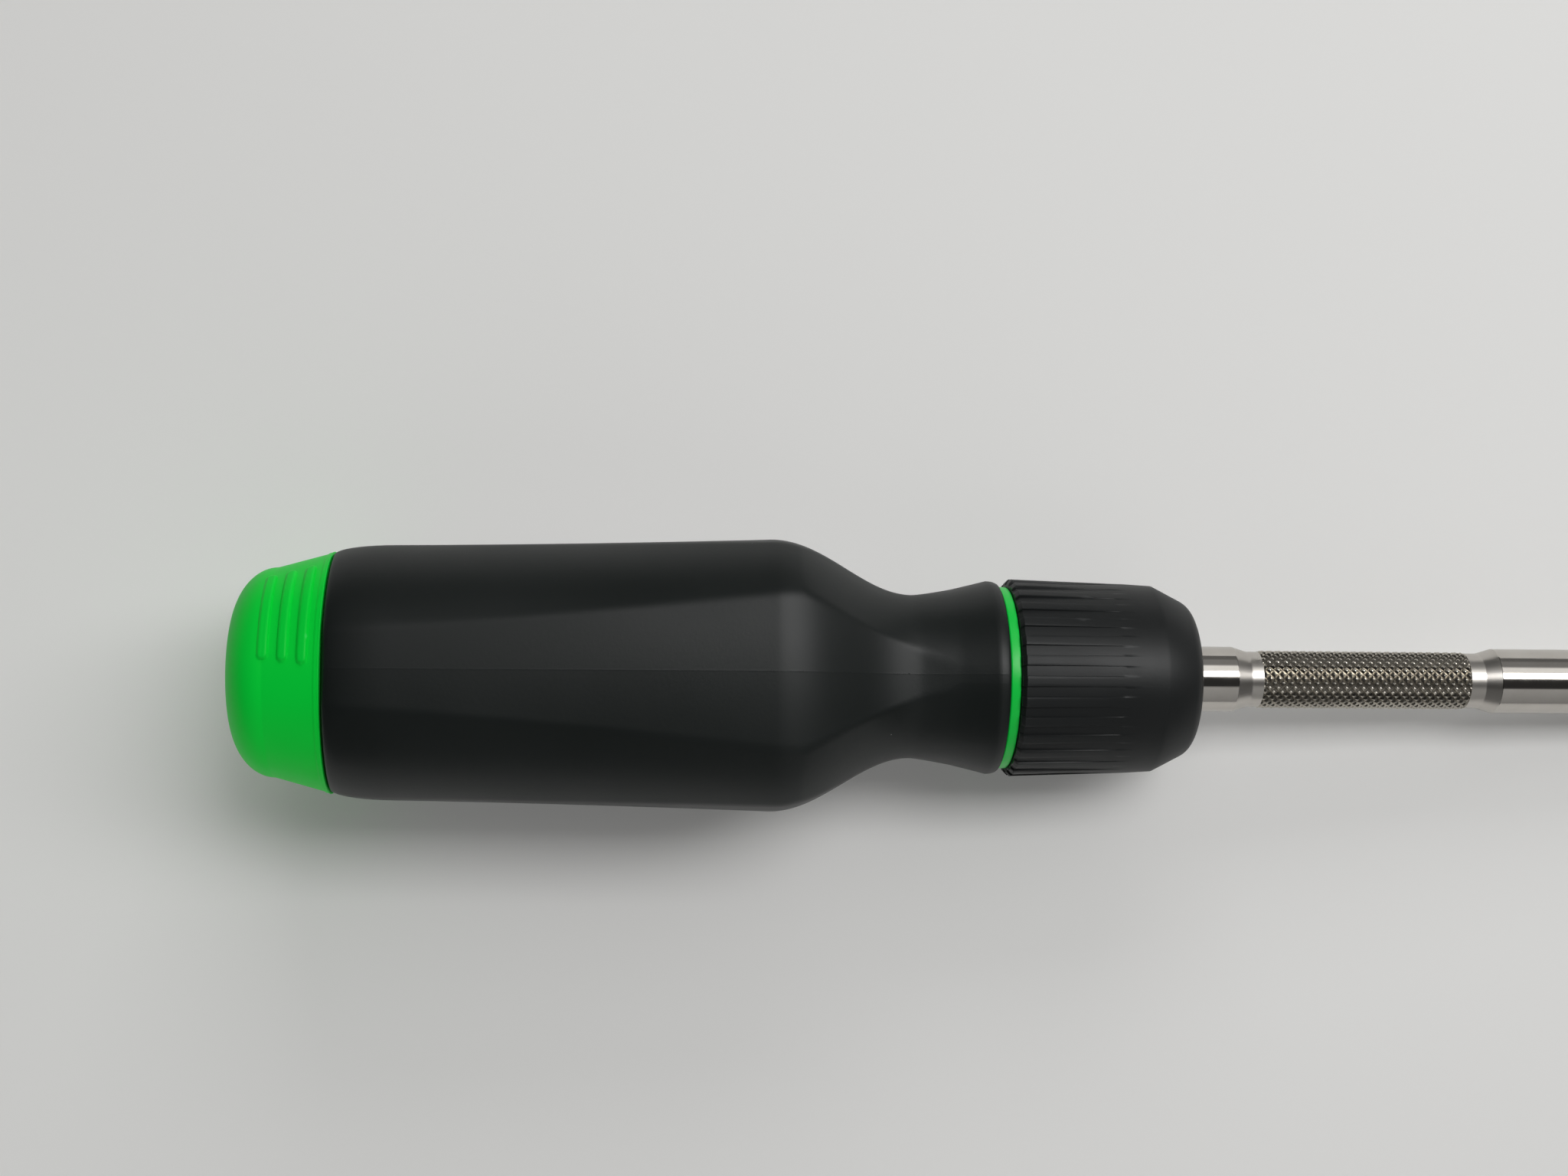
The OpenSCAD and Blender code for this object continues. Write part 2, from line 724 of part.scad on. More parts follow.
// Ratchet gear: symmetric teeth, since either pawl drives it
module gear_profile() {
    pitch = 360 / teeth;
    tip_half = pitch * tooth_tip_share / 2;
    root_half = pitch * tooth_root_share / 2;
    root_r = gear_d / 2 - tooth_h;
    polygon([
        for (i = [0 : teeth - 1])
            for (p = [[root_r, -root_half], [gear_d / 2, -tip_half], [gear_d / 2, tip_half], [root_r, root_half]])
                let (a = (i + 0.5) * pitch + p[1])
                p[0] * [cos(a), sin(a)]
    ]);
}
module ratchet_gear() {
    color("#8a8c8f")
        difference() {
            slab(gear_x, gear_end_x)
                gear_profile();
            intersection() {
                bar(gear_x - over, gear_end_x + over, gear_seat_d / 2 + seat_gap);
                translate([gear_x - over, -gear_seat_d, -gear_seat_flats / 2 - seat_gap])
                    cube([gear_l + 2 * over, 2 * gear_seat_d, gear_seat_flats + 2 * seat_gap]);
            }
        }
}

// Place at a radius and a sideways distance, seen along the nose's own direction
function nose_point(r, side) =
    r * [cos(pawl_nose_angle), sin(pawl_nose_angle)]
    + (side - nose_shift) * [-sin(pawl_nose_angle), cos(pawl_nose_angle)];
module pawl_profile() {
    arm = strip(pivot, arm_end, 2 * pawl_boss_r, pawl_arm_w);
    difference() {
        union() {
            translate(pivot)
                circle(r = pawl_boss_r, $fn = 32);
            polygon([
                arm[0], arm[1], arm[2],
                nose_point(pawl_nose_base_r, nose_base_w / 2),
                nose_point(gear_d / 2 - nose_depth, nose_tip_w / 2),
                nose_point(gear_d / 2 - nose_depth, -nose_tip_w / 2),
                nose_point(gear_d / 2 + pawl_belly_gap, -nose_base_w / 2)
            ]);
            polygon(strip(pivot, tail_end, 2 * pawl_boss_r, pawl_tail_w));
            translate(tail_end)
                circle(d = pawl_tail_w, $fn = 32);
        }
        translate(pivot)
            circle(r = pawl_pin_d / 2 + running_gap, $fn = 32);
        translate([spring_seat_y - 2 * spring_seat_half, spring_seat_z])
            square([3 * spring_seat_half, 2 * pawl_boss_r]);
    }
}
module upper_pawl() {
    color("#8a8c8f")
        slab(pawl_x, pawl_x + pawl_l)
            pawl_profile();
}
module lower_pawl() {
    mirror([0, 0, 1])
        upper_pawl();
}
module pawl_pins() {
    color("#b0b2b4")
        for (side = [0, 1])
            mirror([0, 0, side])
                translate([0, pivot[0], pivot[1]])
                    bar(cavity_x - pawl_pin_tail_l, cover_x + pawl_pin_head_l, pawl_pin_d / 2);
}

// Coil spring standing along Z: a tube of six sides swept round a helix, with flat turns at its ends
module coil(h, r, wire_d, turns) {
    steps = 12;
    sides = 6;
    count = turns * steps;
    rise = h - wire_d;
    rings = [for (i = [0 : count]) let (
        a = 360 * i / steps,
        z = wire_d / 2 + rise * ease_ends(i / count)
    ) [for (k = [0 : sides - 1]) let (b = 360 * k / sides)
        [(r + wire_d / 2 * cos(b)) * cos(a), (r + wire_d / 2 * cos(b)) * sin(a), z + wire_d / 2 * sin(b)]]];
    walls = [for (i = [0 : count - 1]) for (k = [0 : sides - 1])
        let (n = (k + 1) % sides, p = i * sides + k, q = i * sides + n)
        each [[p, p + sides, q], [q, p + sides, q + sides]]];
    polyhedron(
        points = [for (ring = rings) each ring],
        faces = concat(
            walls,
            [[for (k = [0 : sides - 1]) k]],
            [[for (k = [sides - 1 : -1 : 0]) count * sides + k]]
        )
    );
}
// Share of a spring's height reached along its wire, a little flatter at both ends
function ease_ends(t) = mix(t, ease(t), coil_end_share);
module upper_pawl_spring() {
    color("#b0b2b4")
        translate([spring_x, spring_seat_y, spring_seat_z + spring_slack])
            coil(pocket_roof_z - spring_seat_z - 2 * spring_slack, spring_r, spring_wire_d, spring_turns);
}
module lower_pawl_spring() {
    mirror([0, 0, 1])
        upper_pawl_spring();
}

// Housing: stem for the grip, gear cavity and two pawl pockets that open to the side for the tails
module pawl_pocket() {
    translate([cavity_x, -pocket_side_y, pocket_floor_z])
        cube([cover_x - cavity_x + over, pocket_side_y + housing_d / 2 + over, pocket_roof_z - pocket_floor_z]);
    translate([cavity_x, -pocket_side_y, nose_relief_z])
        cube([cover_x - cavity_x + over, pocket_side_y + pivot[0], pocket_roof_z - nose_relief_z]);
}
module ratchet_housing() {
    color("#77797c")
        difference() {
            union() {
                bar(stem_x, housing_x, stem_d / 2);
                stem_ribs(stem_x + stem_rib_inset, housing_x - stem_rib_inset, stem_rib_w, stem_d / 2 + stem_rib_h);
                bar(housing_x, cover_x, housing_d / 2);
            }
            bar(stem_x - over, rear_bush_x, stem_bore_d / 2);
            bar(rear_bush_x - over, cavity_x + over, journal_d / 2 + rear_bush_wall + seat_gap);
            bar(cavity_x, cover_x + over, cavity_r);
            for (side = [0, 1])
                mirror([0, 0, side]) {
                    pawl_pocket();
                    translate([0, pivot[0], pivot[1]])
                        bar(cavity_x - pawl_pin_tail_l - seat_gap, cover_x, pawl_pin_d / 2 + seat_gap);
                }
            cover_pin_holes();
        }
}
module cover_pin_holes() {
    for (a = [0, 180])
        at_angle(a)
            translate([0, cover_pin_at, 0])
                bar(cover_pin_x - seat_gap, cover_pin_end_x + over, cover_pin_d / 2 + seat_gap);
}
module cover_pins() {
    color("#b0b2b4")
        for (a = [0, 180])
            at_angle(a)
                translate([0, cover_pin_at, 0])
                    bar(cover_pin_x, cover_pin_end_x, cover_pin_d / 2);
}
// Cover: closes the gear cavity, carries the front bushing, the detent and the collar's retaining ring
module housing_cover() {
    color("#808285")
        difference() {
            union() {
                bar(cover_x + seat_gap, cover_end_x, housing_d / 2);
                bar(cover_end_x - over, nose_tube_end_x, nose_tube_d / 2);
            }
            bar(cover_x - over, nose_tube_end_x + over, shaft_d / 2 + clear_gap);
            bar(front_bush_x, nose_tube_end_x + over, front_bush_d / 2 + seat_gap);
            tube(
                retainer_x - retainer_groove_w / 2, retainer_x + retainer_groove_w / 2,
                housing_d, retainer_groove_floor_d / 2
            );
            for (side = [0, 1])
                mirror([0, 0, side])
                    translate([0, pivot[0], pivot[1]])
                        bar(cover_x - over, cover_x + pawl_pin_head_l + seat_gap, pawl_pin_d / 2 + seat_gap);
            cover_pin_holes();
            translate([detent_x, 0, detent_hole_floor])
                cylinder(h = housing_d, d = detent_hole_d, $fn = 32);
        }
}
module rear_bush() {
    color("#b08d57")
        tube(rear_bush_x, cavity_x, journal_d / 2 + rear_bush_wall, journal_d / 2 + running_gap);
}
module thrust_washer() {
    color("#b08d57")
        tube(cavity_x + seat_gap, cavity_x + washer_t, gear_d / 2 - tooth_h, journal_d / 2 + face_gap);
}
module front_bushing() {
    color("#b08d57")
        difference() {
            union() {
                bar(front_bush_x + seat_gap, front_bush_end_x, front_bush_d / 2);
                bar(nose_tube_end_x + seat_gap, front_bush_end_x, front_bush_flange_d / 2);
            }
            bar(front_bush_x - over, front_bush_end_x + over, shaft_d / 2 + running_gap);
        }
}
module detent_ball() {
    color("#c0c2c4")
        translate([detent_x, 0, ball_at])
            sphere(d = ball_d, $fn = 32);
}
module detent_spring() {
    color("#b0b2b4")
        translate([detent_x, 0, detent_hole_floor + spring_slack])
            coil(
                ball_at - ball_d / 2 - detent_hole_floor - 2 * spring_slack,
                spring_r, spring_wire_d, spring_turns - 1
            );
}
module collar_retainer() {
    color("#b0b2b4")
        difference() {
            translate([retainer_x, 0, 0])
                rotate([0, 90, 0])
                    rotate_extrude($fn = round_sides)
                        translate([retainer_mid_d / 2, 0])
                            circle(d = retainer_wire_d, $fn = 24);
            translate([retainer_x - retainer_wire_d, -housing_d, -retainer_gap_w / 2])
                cube([2 * retainer_wire_d, housing_d, retainer_gap_w]);
        }
}

// Cam ring: turns with the collar, with a recess for each pawl's tail and three detent notches
module cam_ring() {
    color("#5c5e61")
        difference() {
            union() {
                bar(cam_ring_x, cam_ring_end_x, cam_ring_d / 2);
                cam_keys(cam_ring_x, cam_ring_end_x, cam_key_w, cam_ring_d / 2 + cam_key_h);
            }
            bar(cam_ring_x - over, cam_ring_end_x + over, collar_land_d / 2);
            for (a = [-pawl_tail_angle, pawl_tail_angle])
                slab(cavity_x, cover_x + clear_gap)
                    intersection() {
                        circle(d = cam_recess_d, $fn = round_sides);
                        sector(a - cam_recess_half_angle, a + cam_recess_half_angle, cam_recess_d);
                    }
            for (a = [-selector_turn, 0, selector_turn])
                at_angle(90 + a)
                    translate([detent_x, ball_at + ball_travel + hex_gap, 0])
                        sphere(r = notch_r, $fn = 32);
        }
}
module cam_keys(from, to, w, r) {
    for (a = [0, 180])
        at_angle(a)
            translate([from, collar_land_d / 2, -w / 2])
                cube([to - from, r - collar_land_d / 2, w]);
}

// Selector collar: fluted skin, nose cone and stepped bore
nose_arc_x = nose_x - nose_round;
nose_arc_r = collar_cone_d / 2 - (nose_arc_x - collar_x - collar_cone_at) * tan(collar_cone_angle)
    - nose_round / cos(collar_cone_angle);
collar_outline = concat(
    [
        [collar_x, 0], [collar_x, collar_rear_d / 2 - collar_chamfer], [collar_x + collar_chamfer, collar_rear_d / 2],
        [collar_x + collar_mid_at, collar_mid_d / 2], [collar_x + collar_cone_at, collar_cone_d / 2]
    ],
    arc([nose_arc_x, nose_arc_r], nose_round, 90 - collar_cone_angle, 0, 5),
    [[nose_x, 0]]
);
module selector_collar() {
    color("#2a2c2e")
        difference() {
            turned(collar_outline);
            for (i = [0 : flutes - 1])
                at_angle(360 * (i + 0.5) / flutes)
                    translate([collar_x - over, flute_floor_d / 2, -flute_w / 2])
                        cube([collar_mid_at + over, collar_rear_d - flute_floor_d, flute_w]);
            bar(collar_x - over, collar_land_x, cam_ring_d / 2 + seat_gap);
            cam_keys(collar_x - over, collar_land_x, cam_key_w + 2 * seat_gap, cam_ring_d / 2 + cam_key_h + seat_gap);
            bar(collar_x, nose_hollow_x, collar_land_d / 2);
            bar(
                retainer_x - retainer_groove_w / 2 - face_gap, retainer_x + retainer_groove_w / 2 + face_gap,
                retainer_groove_roof_d / 2
            );
            bar(collar_x, nose_hollow_end_x, nose_hollow_d / 2);
            bar(collar_x, nose_x + over, nose_hole_d / 2);
        }
}

end_cap();
bit_carrier();
carrier_seal();
stored_slot_small();
stored_slot_large();
stored_cross_small();
stored_cross_large();
stored_square();
stored_star();
grip_body();
accent_ring();
ratchet_housing();
housing_cover();
cover_pins();
rear_bush();
thrust_washer();
front_bushing();
pawl_pins();
upper_pawl();
lower_pawl();
upper_pawl_spring();
lower_pawl_spring();
detent_ball();
detent_spring();
collar_retainer();
selector_collar();
cam_ring();
ratchet_gear();
drive_shaft();
shaft_clip();
bit_magnet();
driver_bit();
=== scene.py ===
import math
import random
import bpy
from mathutils import Matrix, Vector


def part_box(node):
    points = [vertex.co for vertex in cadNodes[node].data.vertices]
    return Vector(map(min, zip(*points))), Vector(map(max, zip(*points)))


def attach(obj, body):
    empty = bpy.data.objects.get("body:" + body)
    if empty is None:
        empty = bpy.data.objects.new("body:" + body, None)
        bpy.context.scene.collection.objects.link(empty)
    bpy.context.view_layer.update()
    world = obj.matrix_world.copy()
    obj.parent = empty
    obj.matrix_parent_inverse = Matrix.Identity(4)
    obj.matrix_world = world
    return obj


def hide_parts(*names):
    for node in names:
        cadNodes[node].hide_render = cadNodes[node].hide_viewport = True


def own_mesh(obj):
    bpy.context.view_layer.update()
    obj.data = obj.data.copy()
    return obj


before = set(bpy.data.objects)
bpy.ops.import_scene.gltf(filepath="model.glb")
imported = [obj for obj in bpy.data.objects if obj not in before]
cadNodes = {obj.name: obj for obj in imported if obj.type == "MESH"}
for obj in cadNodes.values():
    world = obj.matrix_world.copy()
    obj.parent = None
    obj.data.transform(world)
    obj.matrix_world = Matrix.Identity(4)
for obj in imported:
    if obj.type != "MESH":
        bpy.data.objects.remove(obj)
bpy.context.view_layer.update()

scene = bpy.context.scene
mm = 0.001
print("frame loaded,", len(cadNodes), "pieces")

# Camera: almost straight above the tool, whose nose dips a little
cameraSize = {
    "over": (-175.86, -9.6), "above": 277.8, "tilt": 4.7, "lean": 4.392, "roll": 0.259,
    "focalPx": 2733, "framePx": 2048, "sensor": 36.0, "nearest": 0.01, "farthest": 20,
}


def addCamera(size):
    tilt, lean, roll = (math.radians(size[turn]) for turn in ("tilt", "lean", "roll"))
    view = Vector((math.tan(tilt), math.tan(lean), -1)).normalized()
    right = view.cross(Vector((0, 1, 0))).normalized()
    up = right.cross(view)
    right, up = (
        right * math.cos(roll) + up * math.sin(roll), up * math.cos(roll) - right * math.sin(roll))
    data = bpy.data.cameras.new("photoCamera")
    data.sensor_width = size["sensor"]
    data.lens = size["focalPx"] / size["framePx"] * size["sensor"]
    data.clip_start = size["nearest"]
    data.clip_end = size["farthest"]
    camera = bpy.data.objects.new("photoCamera", data)
    scene.collection.objects.link(camera)
    camera.matrix_world = Matrix([
        [right.x, up.x, -view.x, size["over"][0] * mm],
        [right.y, up.y, -view.y, size["over"][1] * mm],
        [right.z, up.z, -view.z, size["above"] * mm],
        [0, 0, 0, 1],
    ])
    scene.camera = camera


addCamera(cameraSize)
scene.view_settings.view_transform = "Standard"


# Node helpers. A value is a number or the output of another node
def feed(tree, socket, value):
    if isinstance(value, (int, float)):
        socket.default_value = value
    else:
        tree.links.new(value, socket)


def mathNode(tree, operation, *values, clamp=False):
    node = tree.nodes.new("ShaderNodeMath")
    node.operation = operation
    node.use_clamp = clamp
    for socket, value in zip(node.inputs, values):
        feed(tree, socket, value)
    return node.outputs[0]


def mapRange(tree, value, fromLow, fromHigh, low=0, high=1):
    node = tree.nodes.new("ShaderNodeMapRange")
    ends = {"Value": value, "From Min": fromLow, "From Max": fromHigh, "To Min": low, "To Max": high}
    for label, end in ends.items():
        feed(tree, node.inputs[label], end)
    return node.outputs["Result"]


def splitVector(tree, vector):
    node = tree.nodes.new("ShaderNodeSeparateXYZ")
    tree.links.new(vector, node.inputs[0])
    return node.outputs


def joinVector(tree, *parts):
    node = tree.nodes.new("ShaderNodeCombineXYZ")
    for socket, part in zip(node.inputs, parts):
        feed(tree, socket, part)
    return node.outputs[0]


def objectPlace(tree):
    return tree.nodes.new("ShaderNodeTexCoord").outputs["Object"]


def mixShaders(tree, share, first, second, end):
    node = tree.nodes.new("ShaderNodeMixShader")
    for socket, source in zip(node.inputs, (share, first, second)):
        tree.links.new(source, socket)
    tree.links.new(node.outputs[0], end)


def newMaterial(name):
    material = bpy.data.materials.new(name)
    material.use_nodes = True
    tree = material.node_tree
    return material, tree, tree.nodes["Principled BSDF"]


# Light: a long panel above, a dim one low behind the cap, one at the far side, and a room
# whose level changes round the tool's axis (in degrees from straight up) and along it
lightSize = {
    "panels": [
        {
            "name": "keyPanel", "aim": (0.26, 0, 0), "from": (0, 0.29, 0.96), "distance": 0.75,
            "size": (0.8, 0.24), "watts": 3.3, "mirrored": True, "shadow": True,
        },
        {
            "name": "fillPanel", "aim": (-0.20, 0, 0), "from": (-0.48, -0.80, 0.32), "distance": 0.8,
            "size": (0.5, 0.5), "watts": 1.6, "mirrored": False, "shadow": False,
        },
        {
            "name": "sidePanel", "aim": (-0.12, 0, 0), "from": (0, 0.86, 0.5), "distance": 0.8,
            "size": (0.5, 0.3), "watts": 1.5, "mirrored": False, "shadow": True,
        },
    ],
    "roomZones": [
        (-180, 0.24), (-90, 0.25), (-32, 0.38), (-27, 0.03), (3, 0.03), (7, 1.05), (45, 1.05),
        (50, 0.24), (70, 0.24), (74, 0.14), (88, 0.14), (93, 0.20), (180, 0.20),
    ],
    "lengthZones": [
        (-1, 0.12), (-0.16, 0.12), (0.16, 1.05), (0.5, 1.0), (0.66, 0.3), (0.85, 0.12), (1, 0.12),
    ],
    "backdrop": 0.86, "blueShare": 0.99,
}


def addPanel(panel):
    data = bpy.data.lights.new(panel["name"], "AREA")
    data.shape = "RECTANGLE"
    data.size, data.size_y = panel["size"]
    data.energy = panel["watts"]
    data.use_shadow = panel["shadow"]
    lamp = bpy.data.objects.new(panel["name"], data)
    scene.collection.objects.link(lamp)
    lamp.visible_glossy = panel["mirrored"]
    away = Vector(panel["from"]).normalized()
    lamp.location = Vector(panel["aim"]) + panel["distance"] * away
    if away.x:
        lamp.rotation_euler = away.to_track_quat("Z", "X").to_euler()
    else:
        lamp.rotation_euler = (-math.atan2(away.y, away.z), 0, 0)  # keeps its long side along the tool


def addRoom(size):
    world = bpy.data.worlds.new("softRoom")
    scene.world = world
    world.use_nodes = True
    tree = world.node_tree
    tree.nodes.clear()

    def warmGrey(level):
        return level, level, level * size["blueShare"], 1

    def levelRamp(value, marks):
        ramp = tree.nodes.new("ShaderNodeValToRGB")
        points = ramp.color_ramp.elements
        for i, (place, level) in enumerate(marks):
            spot = points[i] if i < 2 else points.new(place)
            spot.position = place
            spot.color = warmGrey(level)
        tree.links.new(value, ramp.inputs["Fac"])
        return ramp.outputs["Color"]

    way = splitVector(tree, tree.nodes.new("ShaderNodeTexCoord").outputs["Generated"])
    turn = mapRange(tree, mathNode(tree, "ARCTAN2", way["Y"], way["Z"]), -math.pi, math.pi)
    around = levelRamp(turn, [(degrees / 360 + 0.5, level) for degrees, level in size["roomZones"]])
    slide = mathNode(tree, "MULTIPLY_ADD", way["X"], 0.5, 0.5)
    along = levelRamp(slide, [(x / 2 + 0.5, level) for x, level in size["lengthZones"]])
    room = tree.nodes.new("ShaderNodeBackground")
    tree.links.new(around, room.inputs["Color"])
    tree.links.new(along, room.inputs["Strength"])
    seen = tree.nodes.new("ShaderNodeBackground")
    seen.inputs["Color"].default_value = warmGrey(size["backdrop"])
    path = tree.nodes.new("ShaderNodeLightPath")
    end = tree.nodes.new("ShaderNodeOutputWorld").inputs["Surface"]
    mixShaders(tree, path.outputs["Is Camera Ray"], room.outputs[0], seen.outputs[0], end)


for panel in lightSize["panels"]:
    addPanel(panel)
addRoom(lightSize)

# Floor: a pale sheet that the bulge of the grip and the end of the shaft rest on
floorSize = {
    "bulge": (-155.0, -18.1), "shaftEnd": (0, -4.55), "half": 2.5, "colour": (0.80, 0.796, 0.782),
    "roughness": 0.8, "lift": 0.06, "liftColour": (1, 1, 0.98),
}


def addFloor(size):
    (bulgeX, bulgeZ), (endX, endZ) = size["bulge"], size["shaftEnd"]
    rise = (endZ - bulgeZ) / (endX - bulgeX)
    half = size["half"]
    corners = [(-half, -half), (half, -half), (half, half), (-half, half)]
    mesh = bpy.data.meshes.new("floor")
    mesh.from_pydata([(x, y, endZ * mm + rise * (x - endX * mm)) for x, y in corners], [], [(0, 1, 2, 3)])
    floor = bpy.data.objects.new("floor", mesh)
    scene.collection.objects.link(floor)
    material, tree, shader = newMaterial("paleFloor")
    shader.inputs["Base Color"].default_value = (*size["colour"], 1)
    shader.inputs["Roughness"].default_value = size["roughness"]
    shader.inputs["Emission Color"].default_value = (*size["liftColour"], 1)
    path = tree.nodes.new("ShaderNodeLightPath")
    lift = mathNode(tree, "MULTIPLY", path.outputs["Is Camera Ray"], size["lift"])
    tree.links.new(lift, shader.inputs["Emission Strength"])
    clear = tree.nodes.new("ShaderNodeBsdfTransparent")  # the sheet doesn't hide the tool from below
    below = tree.nodes.new("ShaderNodeNewGeometry").outputs["Backfacing"]
    end = tree.nodes["Material Output"].inputs["Surface"]
    mixShaders(tree, below, shader.outputs[0], clear.outputs[0], end)
    mesh.materials.append(material)


addFloor(floorSize)
print("camera, light and floor made")


# Shader groups that several finishes share
def newGroup(name, inputs, outputs):
    tree = bpy.data.node_groups.new(name, "ShaderNodeTree")
    for label, value in inputs.items():
        socket = tree.interface.new_socket(label, in_out="INPUT", socket_type="NodeSocketFloat")
        socket.default_value = value
    for label in outputs:
        tree.interface.new_socket(label, in_out="OUTPUT", socket_type="NodeSocketFloat")
    given = tree.nodes.new("NodeGroupInput").outputs
    return tree, given, tree.nodes.new("NodeGroupOutput").inputs


def noiseNode(tree, vector, scale, detail, roughness):
    node = tree.nodes.new("ShaderNodeTexNoise")
    node.inputs["Detail"].default_value = detail
    node.inputs["Roughness"].default_value = roughness
    feed(tree, node.inputs["Scale"], scale)
    tree.links.new(vector, node.inputs["Vector"])
    return node.outputs["Fac"]


def mouldedGrainGroup():
    # Fine grain of a spark-eroded mould, and broad patches where hands have polished it
    tree, given, out = newGroup(
        "mouldedGrain", {"Grain scale": 2600.0, "Patch scale": 45.0}, ["Height", "Patch"])
    place = objectPlace(tree)
    fine = noiseNode(tree, place, given["Grain scale"], detail=3.0, roughness=0.6)
    broad = noiseNode(tree, place, given["Patch scale"], detail=3.0, roughness=0.55)
    tree.links.new(fine, out["Height"])
    tree.links.new(broad, out["Patch"])
    return tree


def turnedMarksGroup():
    # Faint rings that a lathe or a grinding wheel leaves round the tool's axis
    tree, given, out = newGroup(
        "turnedMarks", {"Rings per metre": 9000.0, "Waver": 0.02, "Tone scale": 220.0}, ["Height", "Tone"])
    place = objectPlace(tree)
    parts = splitVector(tree, place)
    across = mathNode(tree, "MULTIPLY", parts["Y"], given["Waver"])
    along = joinVector(tree, mathNode(tree, "ADD", parts["X"], across))
    rings = noiseNode(tree, along, given["Rings per metre"], detail=2.0, roughness=0.7)
    tone = noiseNode(tree, place, given["Tone scale"], detail=3.0, roughness=0.6)
    tree.links.new(rings, out["Height"])
    tree.links.new(tone, out["Tone"])
    return tree


def edgeWearAndHighlightGroup():
    # Mask of outer edges, lightened partly by rubbing and partly as a painted highlight where light catches
    # them
    tree, given, out = newGroup("edgeWearAndHighlight", {"From": 0.53, "To": 0.62, "Patch scale": 600.0}, ["Mask"])
    form = tree.nodes.new("ShaderNodeNewGeometry")
    edge = mapRange(tree, form.outputs["Pointiness"], given["From"], given["To"])
    patchy = noiseNode(tree, objectPlace(tree), given["Patch scale"], detail=3.0, roughness=0.6)
    tree.links.new(mathNode(tree, "MULTIPLY", edge, patchy, clamp=True), out["Mask"])
    return tree


def dustSpecksGroup():
    # Mask of sparse pale specks of lint
    tree, given, out = newGroup("dustSpecks", {"Scale": 380.0, "Size": 0.024, "Bare share": 0.86}, ["Mask"])
    cells = tree.nodes.new("ShaderNodeTexVoronoi")
    tree.links.new(objectPlace(tree), cells.inputs["Vector"])
    tree.links.new(given["Scale"], cells.inputs["Scale"])
    close = mathNode(tree, "LESS_THAN", cells.outputs["Distance"], given["Size"])
    chosen = splitVector(tree, cells.outputs["Color"])["X"]
    few = mathNode(tree, "GREATER_THAN", chosen, given["Bare share"])
    tree.links.new(mathNode(tree, "MULTIPLY", close, few), out["Mask"])
    return tree


grainGroup, marksGroup = mouldedGrainGroup(), turnedMarksGroup()
wearAndHighlightGroup, specksGroup = edgeWearAndHighlightGroup(), dustSpecksGroup()


def placeGroup(tree, group, **values):
    node = tree.nodes.new("ShaderNodeGroup")
    node.node_tree = group
    for label, value in values.items():
        node.inputs[label.replace("_", " ")].default_value = value
    return node.outputs


def mixColour(tree, share, first, second):
    node = tree.nodes.new("ShaderNodeMix")
    node.data_type = "RGBA"
    tree.links.new(share, node.inputs["Factor"])
    for socket, value in ((node.inputs[6], first), (node.inputs[7], second)):  # the two colour sockets
        if isinstance(value, tuple):
            socket.default_value = (*value, 1)
        else:
            tree.links.new(value, socket)
    return node.outputs[2]


def spread(tree, noise, low=0, high=1):
    return mapRange(tree, noise, 0.3, 0.7, low, high)  # nearly all of a noise lies in this range


def bumpNode(tree, height, depth):
    node = tree.nodes.new("ShaderNodeBump")
    node.inputs["Strength"].default_value = 1
    node.inputs["Distance"].default_value = depth * mm
    tree.links.new(height, node.inputs["Height"])
    return node.outputs["Normal"]


lintColour = (0.25, 0.25, 0.24)


def plasticFinish(name, colour, patchColour, roughness, grain, wearAndHighlightColour=None, specks=True, gloss=0.5):
    material, tree, shader = newMaterial(name)
    shader.inputs["Specular IOR Level"].default_value = gloss
    surface = placeGroup(tree, grainGroup, Grain_scale=grain["scale"], Patch_scale=grain["patch"])
    paint = mixColour(tree, spread(tree, surface["Patch"]), colour, patchColour)
    # The edge colour is partly wear and partly a painted highlight along the outer edges
    if wearAndHighlightColour:
        paint = mixColour(tree, placeGroup(tree, wearAndHighlightGroup)["Mask"], paint, wearAndHighlightColour)
    if specks:
        paint = mixColour(tree, placeGroup(tree, specksGroup)["Mask"], paint, lintColour)
    tree.links.new(paint, shader.inputs["Base Color"])
    tree.links.new(spread(tree, surface["Patch"], *roughness), shader.inputs["Roughness"])
    tree.links.new(bumpNode(tree, surface["Height"], grain["depth"]), shader.inputs["Normal"])
    return material


def metalFinish(name, colour, dullColour, roughness, marks, wearAndHighlightColour=None, satin=None):
    material, tree, shader = newMaterial(name)
    shader.inputs["Metallic"].default_value = 1.0
    surface = placeGroup(tree, marksGroup, Rings_per_metre=marks["rings"], Waver=marks["waver"])
    paint = mixColour(tree, spread(tree, surface["Tone"]), colour, dullColour)
    # The edge colour is partly wear and partly a painted highlight along the outer edges
    if wearAndHighlightColour:
        paint = mixColour(tree, placeGroup(tree, wearAndHighlightGroup)["Mask"], paint, wearAndHighlightColour)
    tree.links.new(paint, shader.inputs["Base Color"])
    rough = spread(tree, surface["Tone"], *roughness)
    if satin:
        # A stretch of the axis where the surface is only brushed
        x = splitVector(tree, objectPlace(tree))["X"]
        after = mathNode(tree, "GREATER_THAN", x, satin["from"] * mm)
        before = mathNode(tree, "LESS_THAN", x, satin["to"] * mm)
        extra = mathNode(tree, "MULTIPLY", mathNode(tree, "MULTIPLY", after, before), satin["extra"])
        rough = mathNode(tree, "ADD", rough, extra)
    tree.links.new(rough, shader.inputs["Roughness"])
    tree.links.new(bumpNode(tree, surface["Height"], marks["depth"]), shader.inputs["Normal"])
    return material


